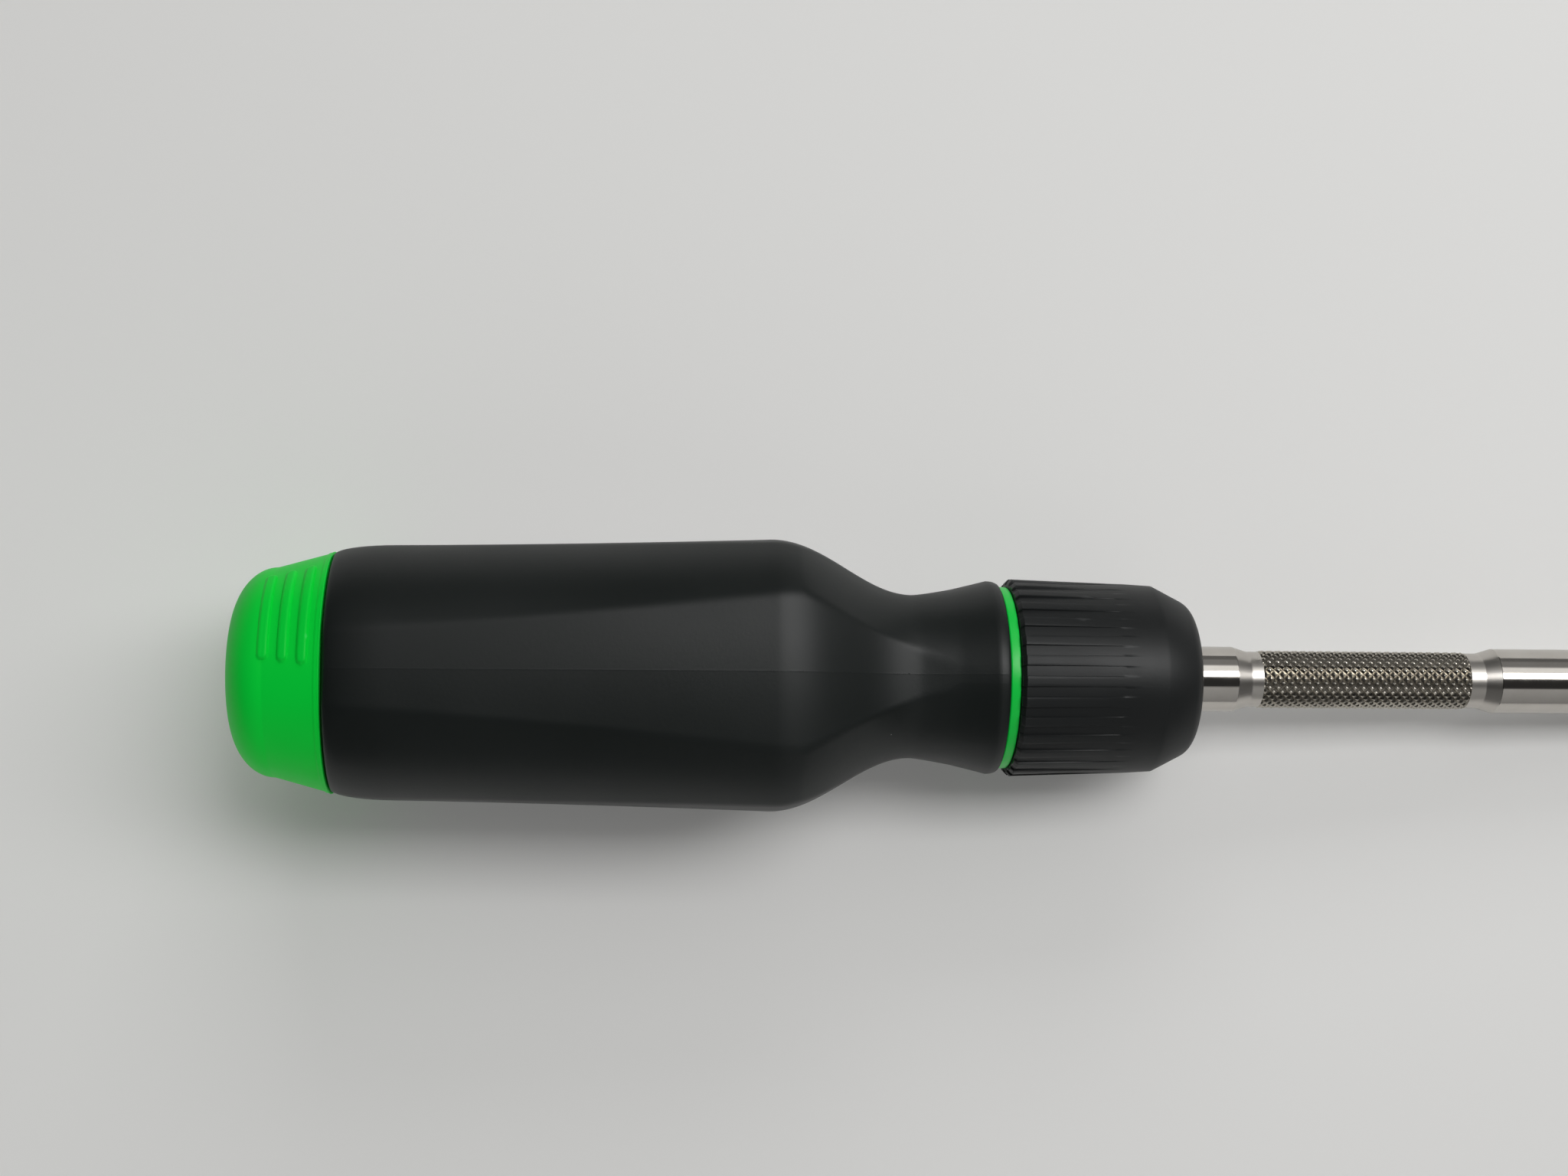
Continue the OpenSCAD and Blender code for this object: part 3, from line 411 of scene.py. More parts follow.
# Plastics: grain scale per metre, scale of the polished patches, and grain depth in millimetres
plastics = {
    "gripBlack": {
        "colour": (0.0058, 0.0080, 0.0075), "patchColour": (0.0078, 0.0102, 0.0097),
        "roughness": (0.40, 0.48), "wearAndHighlightColour": (0.030, 0.032, 0.033), "gloss": 0.38,
        "grain": {"scale": 2400.0, "patch": 38.0, "depth": 0.008},
    },
    "collarBlack": {
        "colour": (0.0066, 0.0078, 0.0080), "patchColour": (0.0086, 0.0100, 0.0104),
        "roughness": (0.44, 0.52), "wearAndHighlightColour": (0.040, 0.042, 0.043), "gloss": 0.38,
        "grain": {"scale": 2000.0, "patch": 60.0, "depth": 0.008},
    },
    "capGreen": {
        "colour": (0.001, 0.665, 0.043), "patchColour": (0.002, 0.715, 0.049),
        "roughness": (0.36, 0.44), "wearAndHighlightColour": (0.050, 0.800, 0.140), "specks": False, "gloss": 0.12,
        "grain": {"scale": 1500.0, "patch": 40.0, "depth": 0.004},
    },
    "ringGreen": {
        "colour": (0.003, 0.600, 0.058), "patchColour": (0.005, 0.640, 0.066),
        "roughness": (0.28, 0.36), "wearAndHighlightColour": (0.030, 0.600, 0.090), "specks": False, "gloss": 0.4,
        "grain": {"scale": 1500.0, "patch": 60.0, "depth": 0.003},
    },
    "carrierBlack": {
        "colour": (0.020, 0.021, 0.022), "patchColour": (0.028, 0.029, 0.030),
        "roughness": (0.42, 0.55), "wearAndHighlightColour": (0.060, 0.060, 0.062),
        "grain": {"scale": 1800.0, "patch": 80.0, "depth": 0.010},
    },
    "sealRubber": {
        "colour": (0.014, 0.014, 0.014), "patchColour": (0.022, 0.022, 0.022), "roughness": (0.55, 0.70),
        "grain": {"scale": 3000.0, "patch": 120.0, "depth": 0.006},
    },
}
# Metals: rings per metre, how far a ring wavers across the axis, and ring depth in millimetres
metals = {
    "shaftBright": {
        "colour": (0.64, 0.61, 0.57), "dullColour": (0.58, 0.55, 0.51), "roughness": (0.07, 0.12),
        "marks": {"rings": 9000.0, "waver": 0.02, "depth": 0.0008},
        "satin": {"from": -92.3, "to": -56.0, "extra": 0.20},
    },
    "knurlBright": {
        "colour": (0.52, 0.485, 0.42), "dullColour": (0.42, 0.39, 0.34), "roughness": (0.20, 0.30),
        "marks": {"rings": 6000.0, "waver": 0.3, "depth": 0.002}, "wearAndHighlightColour": (0.88, 0.85, 0.80),
    },
    "bitSteel": {
        "colour": (0.40, 0.40, 0.41), "dullColour": (0.30, 0.30, 0.31), "roughness": (0.24, 0.36),
        "marks": {"rings": 5000.0, "waver": 0.1, "depth": 0.003}, "wearAndHighlightColour": (0.62, 0.62, 0.62),
    },
    "castGrey": {
        "colour": (0.30, 0.31, 0.32), "dullColour": (0.24, 0.245, 0.25), "roughness": (0.38, 0.52),
        "marks": {"rings": 2500.0, "waver": 1.0, "depth": 0.006}, "wearAndHighlightColour": (0.50, 0.50, 0.50),
    },
    "bushBronze": {
        "colour": (0.56, 0.36, 0.15), "dullColour": (0.42, 0.26, 0.10), "roughness": (0.28, 0.42),
        "marks": {"rings": 4000.0, "waver": 0.1, "depth": 0.004}, "wearAndHighlightColour": (0.75, 0.52, 0.26),
    },
    "pinSteel": {
        "colour": (0.55, 0.55, 0.55), "dullColour": (0.46, 0.46, 0.47), "roughness": (0.18, 0.28),
        "marks": {"rings": 8000.0, "waver": 0.05, "depth": 0.002},
    },
    "hardSteel": {
        "colour": (0.24, 0.245, 0.26), "dullColour": (0.17, 0.17, 0.18), "roughness": (0.30, 0.44),
        "marks": {"rings": 4500.0, "waver": 0.3, "depth": 0.004}, "wearAndHighlightColour": (0.50, 0.50, 0.50),
    },
    "springSteel": {
        "colour": (0.45, 0.45, 0.46), "dullColour": (0.34, 0.34, 0.35), "roughness": (0.22, 0.32),
        "marks": {"rings": 7000.0, "waver": 0.6, "depth": 0.002},
    },
    "ballSteel": {
        "colour": (0.66, 0.66, 0.66), "dullColour": (0.60, 0.60, 0.60), "roughness": (0.06, 0.12),
        "marks": {"rings": 9000.0, "waver": 0.5, "depth": 0.0005},
    },
    "magnetNickel": {
        "colour": (0.55, 0.53, 0.49), "dullColour": (0.46, 0.44, 0.40), "roughness": (0.20, 0.30),
        "marks": {"rings": 3000.0, "waver": 0.8, "depth": 0.002},
    },
}
finishes = {name: plasticFinish(name, **look) for name, look in plastics.items()}
finishes.update({name: metalFinish(name, **look) for name, look in metals.items()})
print("finishes made:", len(finishes))


# Mesh helpers. An outline is a list of (place along the axis, radius) in millimetres
def turnedMesh(name, outline, angles, shape=None, closed=False, sharpAngle=40, warp=None):
    verts, rings = [], []
    count = len(angles)
    for i, (x, r) in enumerate(outline):
        if r == 0:
            rings.append([len(verts)])
            verts.append((x * mm, 0, 0))
            continue
        rings.append(list(range(len(verts), len(verts) + count)))
        for a in angles:
            a = warp(i, x, a) if warp else a
            radius = shape(i, x, r, a) if shape else r
            c, s = math.cos(math.radians(a)), math.sin(math.radians(a))
            verts.append((x * mm, radius * c * mm, radius * s * mm))
    faces = []
    pairs = list(zip(rings, rings[1:])) + ([(rings[-1], rings[0])] if closed else [])
    for p, q in pairs:
        for k in range(count):
            n = (k + 1) % count
            if len(p) == 1:
                faces.append((p[0], q[n], q[k]))
            elif len(q) == 1:
                faces.append((p[k], p[n], q[0]))
            else:
                faces.append((p[k], p[n], q[n], q[k]))
    mesh = bpy.data.meshes.new(name)
    mesh.from_pydata(verts, [], faces)
    mesh.validate()
    mesh.shade_smooth()
    mesh.set_sharp_from_angle(angle=math.radians(sharpAngle))
    return mesh


def addPiece(name, mesh, finish, body, stands=()):
    mesh.materials.clear()
    mesh.materials.append(finishes[finish])
    piece = bpy.data.objects.new(name, mesh)
    scene.collection.objects.link(piece)
    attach(piece, body)
    if stands:
        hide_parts(*stands)
    return piece


def evenAngles(count):
    return [360 * k / count for k in range(count)]


def roundCorners(points, steps=5):
    # Each point is (x, r) or (x, r, fillet radius)
    out = []
    for i, point in enumerate(points):
        if len(point) < 3:
            out.append(point)
            continue
        here = Vector(point[:2])
        before, after = Vector(points[i - 1][:2]), Vector(points[(i + 1) % len(points)][:2])
        a, b = (before - here).normalized(), (after - here).normalized()
        half = a.angle(b) / 2
        back = point[2] / math.tan(half)
        centre = here + (a + b).normalized() * point[2] / math.sin(half)
        start, end = here + a * back - centre, here + b * back - centre
        sweep = start.angle_signed(end)
        for k in range(steps + 1):
            t = -sweep * k / steps
            c, s = math.cos(t), math.sin(t)
            out.append((centre.x + start.x * c - start.y * s, centre.y + start.x * s + start.y * c))
    return out


def between(a, b, share):
    return a + (b - a) * share


def ease(share):
    return (1 - math.cos(math.pi * min(max(share, 0), 1))) / 2


def quarterTurn(i, count):
    return math.pi / 2 * i / count


def ramped(value, marks, levels):
    for (a, b), (p, q) in zip(zip(marks, marks[1:]), zip(levels, levels[1:])):
        if value <= b:
            return between(p, q, (value - a) / (b - a))
    return levels[-1]


# Places along the tool shared by the pieces, in millimetres from the socket's mouth
places = {
    "capRear": -224.8, "capRim": -211.9, "gripRear": -211.6, "gripFront": -124.7, "ringRear": -124.6,
    "ringFront": -123.3, "collarRear": -123.2, "nose": -98.4,
}

# Grip: a round blank cut by four crowned facets, with a parting line down two of them
gripSize = {
    # Stations from the rear end, diameters across the facets, and how the curves between them bend
    "bulgeAt": 56.6, "neckAt": 75.4, "flareAt": 85.6, "length": 86.9, "rearD": 33.1, "bulgeD": 35.9,
    "neckD": 21.7, "flareD": 25.8, "bulgeBend": 1.5, "flareBend": 1.3,
    # How far the blank stands over the facets, and where it dips under them
    "rearRise": 0.5, "rise": 1.85, "riseAt": 59.8, "riseEnd": 80.8, "riseBend": 1.6, "fallBend": 1.25,
    # A facet's arc has its centre this far beyond the axis; its creases are softened
    "crown": 36.0, "soften": 0.16, "softLeast": 0.14, "creaseLeast": 4, "wideLeast": 0.15,
    "leanLeast": 0.01,
    "rearRound": 1.2, "rearRoundL": 7.5, "frontRound": 0.4,
    "storeR": 12.4, "storeEnd": -170.25, "stemR": 7.52, "stemEnd": -146.98,
    # Parting line, and the very flat ridge at which the mould's two halves meet
    "lineHeight": 0.01, "lineHalfDeg": 0.2, "lineLevel": 0.6, "lineSwing": 0.4, "lineWaves": (1.7, 0.63),
    "ridgeLean": 1.4, "ridgeLeast": 12,
    # Rows along the grip, and columns of half a facet: line, facet, crease and land, in degrees
    "rearRows": 10, "sideRows": 34, "neckRows": 70, "frontRows": 8, "neckRowsBefore": 4,
    "columnMarks": (0, 0.8, 21, 27, 45), "columnCounts": (9, 10, 5), "creaseReach": 1.6,
}


def gripLevels(u, size):
    # How far the blank stands over a facet, the blank's radius, and the radius of a facet's arc
    if u < size["bulgeAt"]:
        share = (max(u, 0) / size["bulgeAt"]) ** size["bulgeBend"]
        facet = between(size["rearD"], size["bulgeD"], share) / 2
    elif u < size["neckAt"]:
        share = ease((u - size["bulgeAt"]) / (size["neckAt"] - size["bulgeAt"]))
        facet = between(size["bulgeD"], size["neckD"], share) / 2
    else:
        share = min((u - size["neckAt"]) / (size["flareAt"] - size["neckAt"]), 1) ** size["flareBend"]
        facet = between(size["neckD"], size["flareD"], share) / 2
    if u < size["riseAt"]:
        over = between(size["rearRise"], size["rise"], (max(u, 0) / size["riseAt"]) ** size["riseBend"])
    else:
        left = (size["riseEnd"] - u) / (size["riseEnd"] - size["riseAt"])
        over = size["rise"] * math.copysign(abs(left) ** size["fallBend"], left)
    drop = 0
    if u < size["rearRoundL"]:
        drop = size["rearRound"] * (1 - math.sqrt(max(0, 1 - (1 - u / size["rearRoundL"]) ** 2)))
    if u > size["flareAt"]:
        share = (u - size["flareAt"]) / (size["length"] - size["flareAt"])
        drop = size["frontRound"] * (1 - math.sqrt(max(0, 1 - share * share)))
    return over, facet + max(over, 0) - drop, facet + max(-over, 0) - drop + size["crown"]


def creaseOf(u, size):
    # Angle from a facet's middle to its crease, and half the width of the crease's rounding
    over, blank, reach = gripLevels(u, size)
    turn = (reach ** 2 - size["crown"] ** 2 - blank ** 2) / (2 * blank * size["crown"])
    crease = math.acos(min(turn, 1))
    lean = crease - math.atan2(blank * math.sin(crease), blank * math.cos(crease) + size["crown"])
    soft = max(size["soften"] * over, size["softLeast"])
    wide = math.degrees(soft / (blank * max(math.tan(lean), size["leanLeast"])))
    crease = max(math.degrees(crease), size["creaseLeast"])
    return crease, min(max(wide, size["wideLeast"]), crease / 4)


def gripRadius(u, angle, size):
    over, blank, reach = gripLevels(u, size)
    away = math.radians((angle + 45) % 90 - 45)
    flat = math.sqrt(reach ** 2 - (size["crown"] * math.sin(away)) ** 2) - size["crown"] * math.cos(away)
    soft = max(size["soften"] * over, size["softLeast"])
    gap = max(soft - abs(flat - blank), 0) / soft
    radius = min(flat, blank) - gap * gap * soft / 4
    onPartedFacet = abs(math.sin(math.radians(angle))) > 0.7
    if onPartedFacet:
        half = math.radians(max(creaseOf(u, size)[0], size["ridgeLeast"]))
        share = min(abs(away) / half, 1)
        radius -= math.tan(math.radians(size["ridgeLean"])) * radius * math.sin(abs(away)) * (1 - share)
    return radius


def gripMesh(size):
    denseFrom = size["bulgeAt"] - size["neckRowsBefore"]
    rows = []
    for i in range(size["rearRows"]):
        rows.append(size["rearRoundL"] * (1 - math.cos(quarterTurn(i, size["rearRows"]))))
    for i in range(size["sideRows"]):
        rows.append(between(size["rearRoundL"], denseFrom, i / size["sideRows"]))
    for i in range(size["neckRows"]):
        rows.append(between(denseFrom, size["flareAt"], i / size["neckRows"]))
    for i in range(size["frontRows"] + 1):
        rows.append(between(size["flareAt"], size["length"], math.sin(quarterTurn(i, size["frontRows"]))))
    rear = places["gripRear"]
    outline = [(size["storeEnd"], 0), (size["storeEnd"], size["storeR"]), (rear, size["storeR"])]
    first = len(outline)
    outline += [(rear + u, 1) for u in rows]
    last = len(outline)
    outline += [
        (places["gripFront"], size["stemR"]), (size["stemEnd"], size["stemR"]), (size["stemEnd"], 0)]
    marks = size["columnMarks"]
    half = [size["lineHalfDeg"], size["lineHalfDeg"] * 2, marks[1]]
    for start, end, count in zip(marks[1:], marks[2:], size["columnCounts"]):
        half += [between(start, end, i / count) for i in range(1, count + 1)]
    half.pop()  # the land's middle is added once below, for both of its sides
    angles = [(middle + side * a) % 360 for middle in (0, 90, 180, 270) for side in (-1, 1) for a in half]
    angles = sorted(angles + [45 * k for k in range(8)])

    def warp(i, x, angle):
        # Each row moves the columns to its own crease
        if not first <= i < last:
            return angle
        away = (angle + 45) % 90 - 45
        crease, wide = creaseOf(x - rear, size)
        wide *= size["creaseReach"]
        place = ramped(abs(away), marks, [0, marks[1], crease - wide, crease + wide, 45])
        return angle - away + math.copysign(place, away)

    def shape(i, x, r, angle):
        if not first <= i < last:
            return r
        radius = gripRadius(x - rear, angle, size)
        off = min(abs(angle - 90), abs(angle - 270)) / size["lineHalfDeg"]
        if off < 2:
            fast, slow = size["lineWaves"]
            wobble = size["lineLevel"] + size["lineSwing"] * math.sin(x * fast) * math.sin(x * slow + 1)
            radius += size["lineHeight"] * wobble * (1 - off / 2)
        return radius

    return turnedMesh("gripShell", outline, angles, shape, warp=warp)


addPiece("gripShell", gripMesh(gripSize), "gripBlack", "handle", ["grip_body"])
print("grip made")

# End cap: rounded end, tapered side, a low lip at the rim and three thumb ribs on two sides
capSize = {
    "shoulderD": 27.4, "rimD": 31.5, "roundL": 5.6, "flatD": 12.0, "poleR": 0.6, "rimRound": 0.25,
    "flangeR": 13.02, "cavityAt": -217.5, "skinLeast": 0.3, "lipL": 0.75, "lipStep": 0.09,
    # Each rib has its middle's angle and half of its length in degrees
    "ribs": [(58.8, 26.7), (58.0, 25.9), (57.5, 25.2)], "fromRim": 2.25, "ribPitch": 2.5,
    "ribW": 1.4, "ribHeight": 0.42, "ribFullness": 4, "ribFall": 0.8,
    "flatRows": 4, "roundRows": 48, "sideRows": 66, "rimRows": 4, "columns": 450,
}


def capMesh(size):
    rear, rim = places["capRear"], places["capRim"]
    sideStart, sideEnd = rear + size["roundL"], rim - size["rimRound"]
    outline = [(rear, 0)]
    for i in range(size["flatRows"]):
        outline.append((rear, between(size["poleR"], size["flatD"] / 2, i / size["flatRows"])))
    for i in range(size["roundRows"] + 1):
        turn = quarterTurn(i, size["roundRows"])
        r = between(size["flatD"], size["shoulderD"], math.sin(turn)) / 2
        outline.append((rear + size["roundL"] * (1 - math.cos(turn)), r))
    for i in range(1, size["sideRows"] + 1):
        x = between(sideStart, sideEnd, i / size["sideRows"])
        r = between(size["shoulderD"], size["rimD"], (x - sideStart) / (rim - sideStart)) / 2
        outline.append((x, r))
    for i in range(1, size["rimRows"] + 1):
        turn = quarterTurn(i, size["rimRows"])
        r = size["rimD"] / 2 - size["rimRound"] * (1 - math.cos(turn))
        outline.append((rim - size["rimRound"] * (1 - math.sin(turn)), r))
    outline += [(rim, size["flangeR"]), (size["cavityAt"], size["flangeR"]), (size["cavityAt"], 0)]
    wide = size["ribW"] / 2

    def shape(i, x, r, angle):
        if r < size["flangeR"] + size["skinLeast"]:
            return r
        height = size["lipStep"] if x > rim - size["lipL"] else 0
        for row, (middle, half) in enumerate(size["ribs"]):
            along = x - (rim - size["fromRim"] - row * size["ribPitch"])
            if abs(along) >= wide:
                continue
            for side in (0, 180):
                away = abs((angle - middle - side + 180) % 360 - 180) - half
                reach = math.hypot(along, max(0, math.radians(away) * r)) / wide
                if reach < 1:
                    height = size["ribHeight"] * (1 - reach ** size["ribFullness"]) ** size["ribFall"]
        return r + height

    return turnedMesh("capShell", outline, evenAngles(size["columns"]), shape)


addPiece("capShell", capMesh(capSize), "capGreen", "cap", ["end_cap"])

# Accent ring
ringSize = {"outerR": 12.15, "innerR": 10.37, "outerRound": 0.2, "innerRound": 0.05, "columns": 180}


def ringMesh(size):
    rear, front = places["ringRear"], places["ringFront"]
    outline = roundCorners([
        (rear, size["outerR"], size["outerRound"]), (front, size["outerR"], size["outerRound"]),
        (front, size["innerR"], size["innerRound"]), (rear, size["innerR"], size["innerRound"])])
    return turnedMesh("accentBand", outline, evenAngles(size["columns"]), closed=True)


addPiece("accentBand", ringMesh(ringSize), "ringGreen", "handle", ["accent_ring"])

# Selector collar: fluted skin, nose cone and stepped bore
collarSize = {
    "rearR": 13.2, "midR": 12.7, "midAt": 16.0, "coneR": 12.5, "coneAt": 19.5, "coneAngle": 27,
    "noseRound": 2.6, "chamfer": 0.5, "mouthChamfer": 0.2,
    "flutes": 30, "fluteW": 1.34, "fluteDepth": 0.34, "fluteEnd": 15.3, "fluteEdge": 0.03,
    "firstFlute": 4.0, "floorColumn": 0.55, "landColumn": 0.6, "edgeRise": 0.93,
    "camR": 11.62, "camEnd": -106.4, "landR": 10.45, "grooveRear": -106.18, "grooveFront": -104.98,
    "grooveR": 10.95, "hollowStart": -104.08, "hollowR": 8.0, "hollowEnd": -99.88, "holeR": 4.75,
    "chamferRows": 4, "sideRows": 26, "coneRows": 6, "noseRows": 12,
}


def collarMesh(size):
    rear, nose = places["collarRear"], places["nose"]
    coneAngle = math.radians(size["coneAngle"])
    arcX = nose - size["noseRound"]
    arcR = size["coneR"] - (arcX - rear - size["coneAt"]) * math.tan(coneAngle)
    arcR -= size["noseRound"] / math.cos(coneAngle)
    outline = [(rear, size["rearR"] - size["chamfer"])]
    for i in range(1, size["chamferRows"] + 1):
        share = i / size["chamferRows"]
        outline.append((rear + size["chamfer"] * share, size["rearR"] - size["chamfer"] * (1 - share)))
    for start, end, startR, endR, count in (
            ("chamfer", "midAt", "rearR", "midR", size["sideRows"]),
            ("midAt", "coneAt", "midR", "coneR", size["coneRows"])):
        for i in range(1, count + 1):
            x = rear + between(size[start], size[end], i / count)
            outline.append((x, between(size[startR], size[endR], i / count)))
    for i in range(size["noseRows"] + 1):
        turn = (math.pi / 2 - coneAngle) * (1 - i / size["noseRows"])
        outline.append((arcX + size["noseRound"] * math.cos(turn), arcR + size["noseRound"] * math.sin(turn)))
    outer = len(outline)
    outline += [(nose, size["holeR"] + size["mouthChamfer"]), (nose - size["mouthChamfer"], size["holeR"])]
    bore = [
        ("hollowEnd", "holeR"), ("hollowEnd", "hollowR"), ("hollowStart", "hollowR"),
        ("hollowStart", "landR"), ("grooveFront", "landR"), ("grooveFront", "grooveR"),
        ("grooveRear", "grooveR"), ("grooveRear", "landR"), ("camEnd", "landR"), ("camEnd", "camR")]
    outline += [(size[x], size[r]) for x, r in bore] + [(rear, size["camR"])]
    pitch = 360 / size["flutes"]
    half = math.degrees(size["fluteW"] / 2 / size["midR"])
    edge = math.degrees(size["fluteEdge"] / size["midR"])
    offs = [
        0, half * size["floorColumn"], half - edge, half + edge, half + 3 * edge,
        between(half, pitch / 2, size["landColumn"])]
    angles = set()
    for k in range(size["flutes"]):
        angles.add(round(size["firstFlute"] + pitch * (k + 0.5), 5) % 360)
        angles.update(round(size["firstFlute"] + pitch * k + s * o, 5) % 360 for o in offs for s in (-1, 1))

    def shape(i, x, r, angle):
        depth = size["fluteDepth"] * (1 - (x - rear) / size["fluteEnd"])
        if i >= outer or depth <= 0:
            return r
        away = abs((angle - size["firstFlute"] + pitch / 2) % pitch - pitch / 2)
        marks = [0, half - edge, half + edge, half + 3 * edge, pitch]
        share = ramped(away, marks, [0, 0, size["edgeRise"], 1, 1])
        return min(r, size["rearR"]) - depth * (1 - share)

    return turnedMesh("collarShell", outline, sorted(angles), shape, closed=True, sharpAngle=30)


addPiece(
    "collarShell", collarMesh(collarSize), "collarBlack", "selector", ["selector_collar"])
print("cap, ring and collar made")

# Drive shaft: journal, gear seat, finger-spin section and hexagonal socket
shaftSize = {
    "r": 4.4, "rear": -128.38, "rearRound": 0.3, "journalR": 3.0,
    "clipFrom": -127.38, "clipTo": -126.58, "clipR": 2.6,
    "gearFrom": -119.38, "gearTo": -113.28, "seatR": 3.9, "seatHalf": 3.4,
    "spin": -92.35, "spinRound": 0.4, "rearCone": 2.1, "neckR": 3.75, "neckRound": 1.2,
    "knurlFrom": -89.0, "knurlTo": -59.7, "knurlLap": 0.3, "coreR": 3.4,
    "spinEnd": -55.9, "frontCone": 2.1, "frontNeckRound": 0.5, "frontRound": 0.3,
    "chamfer": 0.4, "mouthRound": 0.1, "socketHalf": 3.225, "socketEnd": -13.0, "mouthDepth": 0.45,
    "mouthGap": 0.02, "magnetR": 2.52, "magnetEnd": -16.05, "columns": 144,
}


def shaftMesh(size):
    coreFrom, coreTo = size["knurlFrom"] + size["knurlLap"], size["knurlTo"] - size["knurlLap"]
    bore = [
        (0, size["socketHalf"] + size["mouthDepth"]), (-size["mouthDepth"], size["socketHalf"]),
        (size["socketEnd"], size["socketHalf"]), (size["socketEnd"], size["magnetR"]),
        (size["magnetEnd"], size["magnetR"]), (size["magnetEnd"], 0)]
    outline = roundCorners([
        (size["rear"], 0), (size["rear"], size["journalR"], size["rearRound"]),
        (size["clipFrom"], size["journalR"]), (size["clipFrom"], size["clipR"]),
        (size["clipTo"], size["clipR"]), (size["clipTo"], size["journalR"]),
        (size["gearFrom"], size["journalR"]), (size["gearFrom"], size["seatR"]),
        (size["gearTo"], size["seatR"]), (size["gearTo"], size["r"]),
        (size["spin"], size["r"], size["spinRound"]),
        (size["spin"] + size["rearCone"], size["neckR"], size["neckRound"]),
        (coreFrom, size["neckR"]), (coreFrom, size["coreR"]),
        (coreTo, size["coreR"]), (coreTo, size["neckR"]),
        (size["spinEnd"] - size["frontCone"], size["neckR"], size["frontNeckRound"]),
        (size["spinEnd"], size["r"], size["frontRound"]), (-size["chamfer"], size["r"], size["mouthRound"]),
        (0, size["r"] - size["chamfer"], size["mouthRound"])] + bore)
    boreStart = len(outline) - len(bore)

    def shape(i, x, r, angle):
        if abs(r - size["seatR"]) < 0.001 and x < size["spin"]:  # two flats carry the gear
            return min(r, size["seatHalf"] / max(abs(math.sin(math.radians(angle))), 0.001))
        if i >= boreStart and r >= size["socketHalf"]:  # six flats take the bit
            away = math.radians((angle - 90 + 30) % 60 - 30)
            return min(size["r"] - size["chamfer"] - size["mouthGap"], r / math.cos(away))
        return r

    return turnedMesh("shaftBody", outline, evenAngles(size["columns"]), shape, sharpAngle=32)


addPiece("shaftBody", shaftMesh(shaftSize), "shaftBright", "shaft", ["drive_shaft"])


# Geometry node helpers
def newGeometryTree(name, inputs):
    tree = bpy.data.node_groups.new(name, "GeometryNodeTree")
    tree.interface.new_socket("Geometry", in_out="INPUT", socket_type="NodeSocketGeometry")
    ids = {}
    for label, kind in inputs.items():
        socket = tree.interface.new_socket(label, in_out="INPUT", socket_type="NodeSocket" + kind)
        ids[label] = socket.identifier
    tree.interface.new_socket("Geometry", in_out="OUTPUT", socket_type="NodeSocketGeometry")
    return tree, tree.nodes.new("NodeGroupInput").outputs, ids


def endTree(tree, given, geometry):
    real = tree.nodes.new("GeometryNodeRealizeInstances")
    paint = tree.nodes.new("GeometryNodeSetMaterial")
    tree.links.new(geometry, real.inputs[0])
    tree.links.new(real.outputs[0], paint.inputs["Geometry"])
    tree.links.new(given["Finish"], paint.inputs["Material"])
    tree.links.new(paint.outputs[0], tree.nodes.new("NodeGroupOutput").inputs[0])


def runTree(name, tree, ids, values, mesh=None):
    holder = bpy.data.objects.new(name + "Maker", mesh or bpy.data.meshes.new(name + "Start"))
    scene.collection.objects.link(holder)
    modifier = holder.modifiers.new("maker", "NODES")
    modifier.node_group = tree
    for label, value in values.items():
        modifier[ids[label]] = value
    bpy.context.view_layer.update()
    made = holder.evaluated_get(bpy.context.evaluated_depsgraph_get())
    result = bpy.data.meshes.new_from_object(made)
    result.name = name
    bpy.data.objects.remove(holder)
    return result


# Knurl: diamonds round and along the shaft, their flattened tops, and how fast they rise at the ends
knurlSize = {
    "around": 20, "along": 25, "points": 8, "depth": 0.27, "overR": 3.9, "topAt": 0.82, "endSlope": 50,
    "sheetEdge": 0.49999, "mergeWithin": 0.001,
}


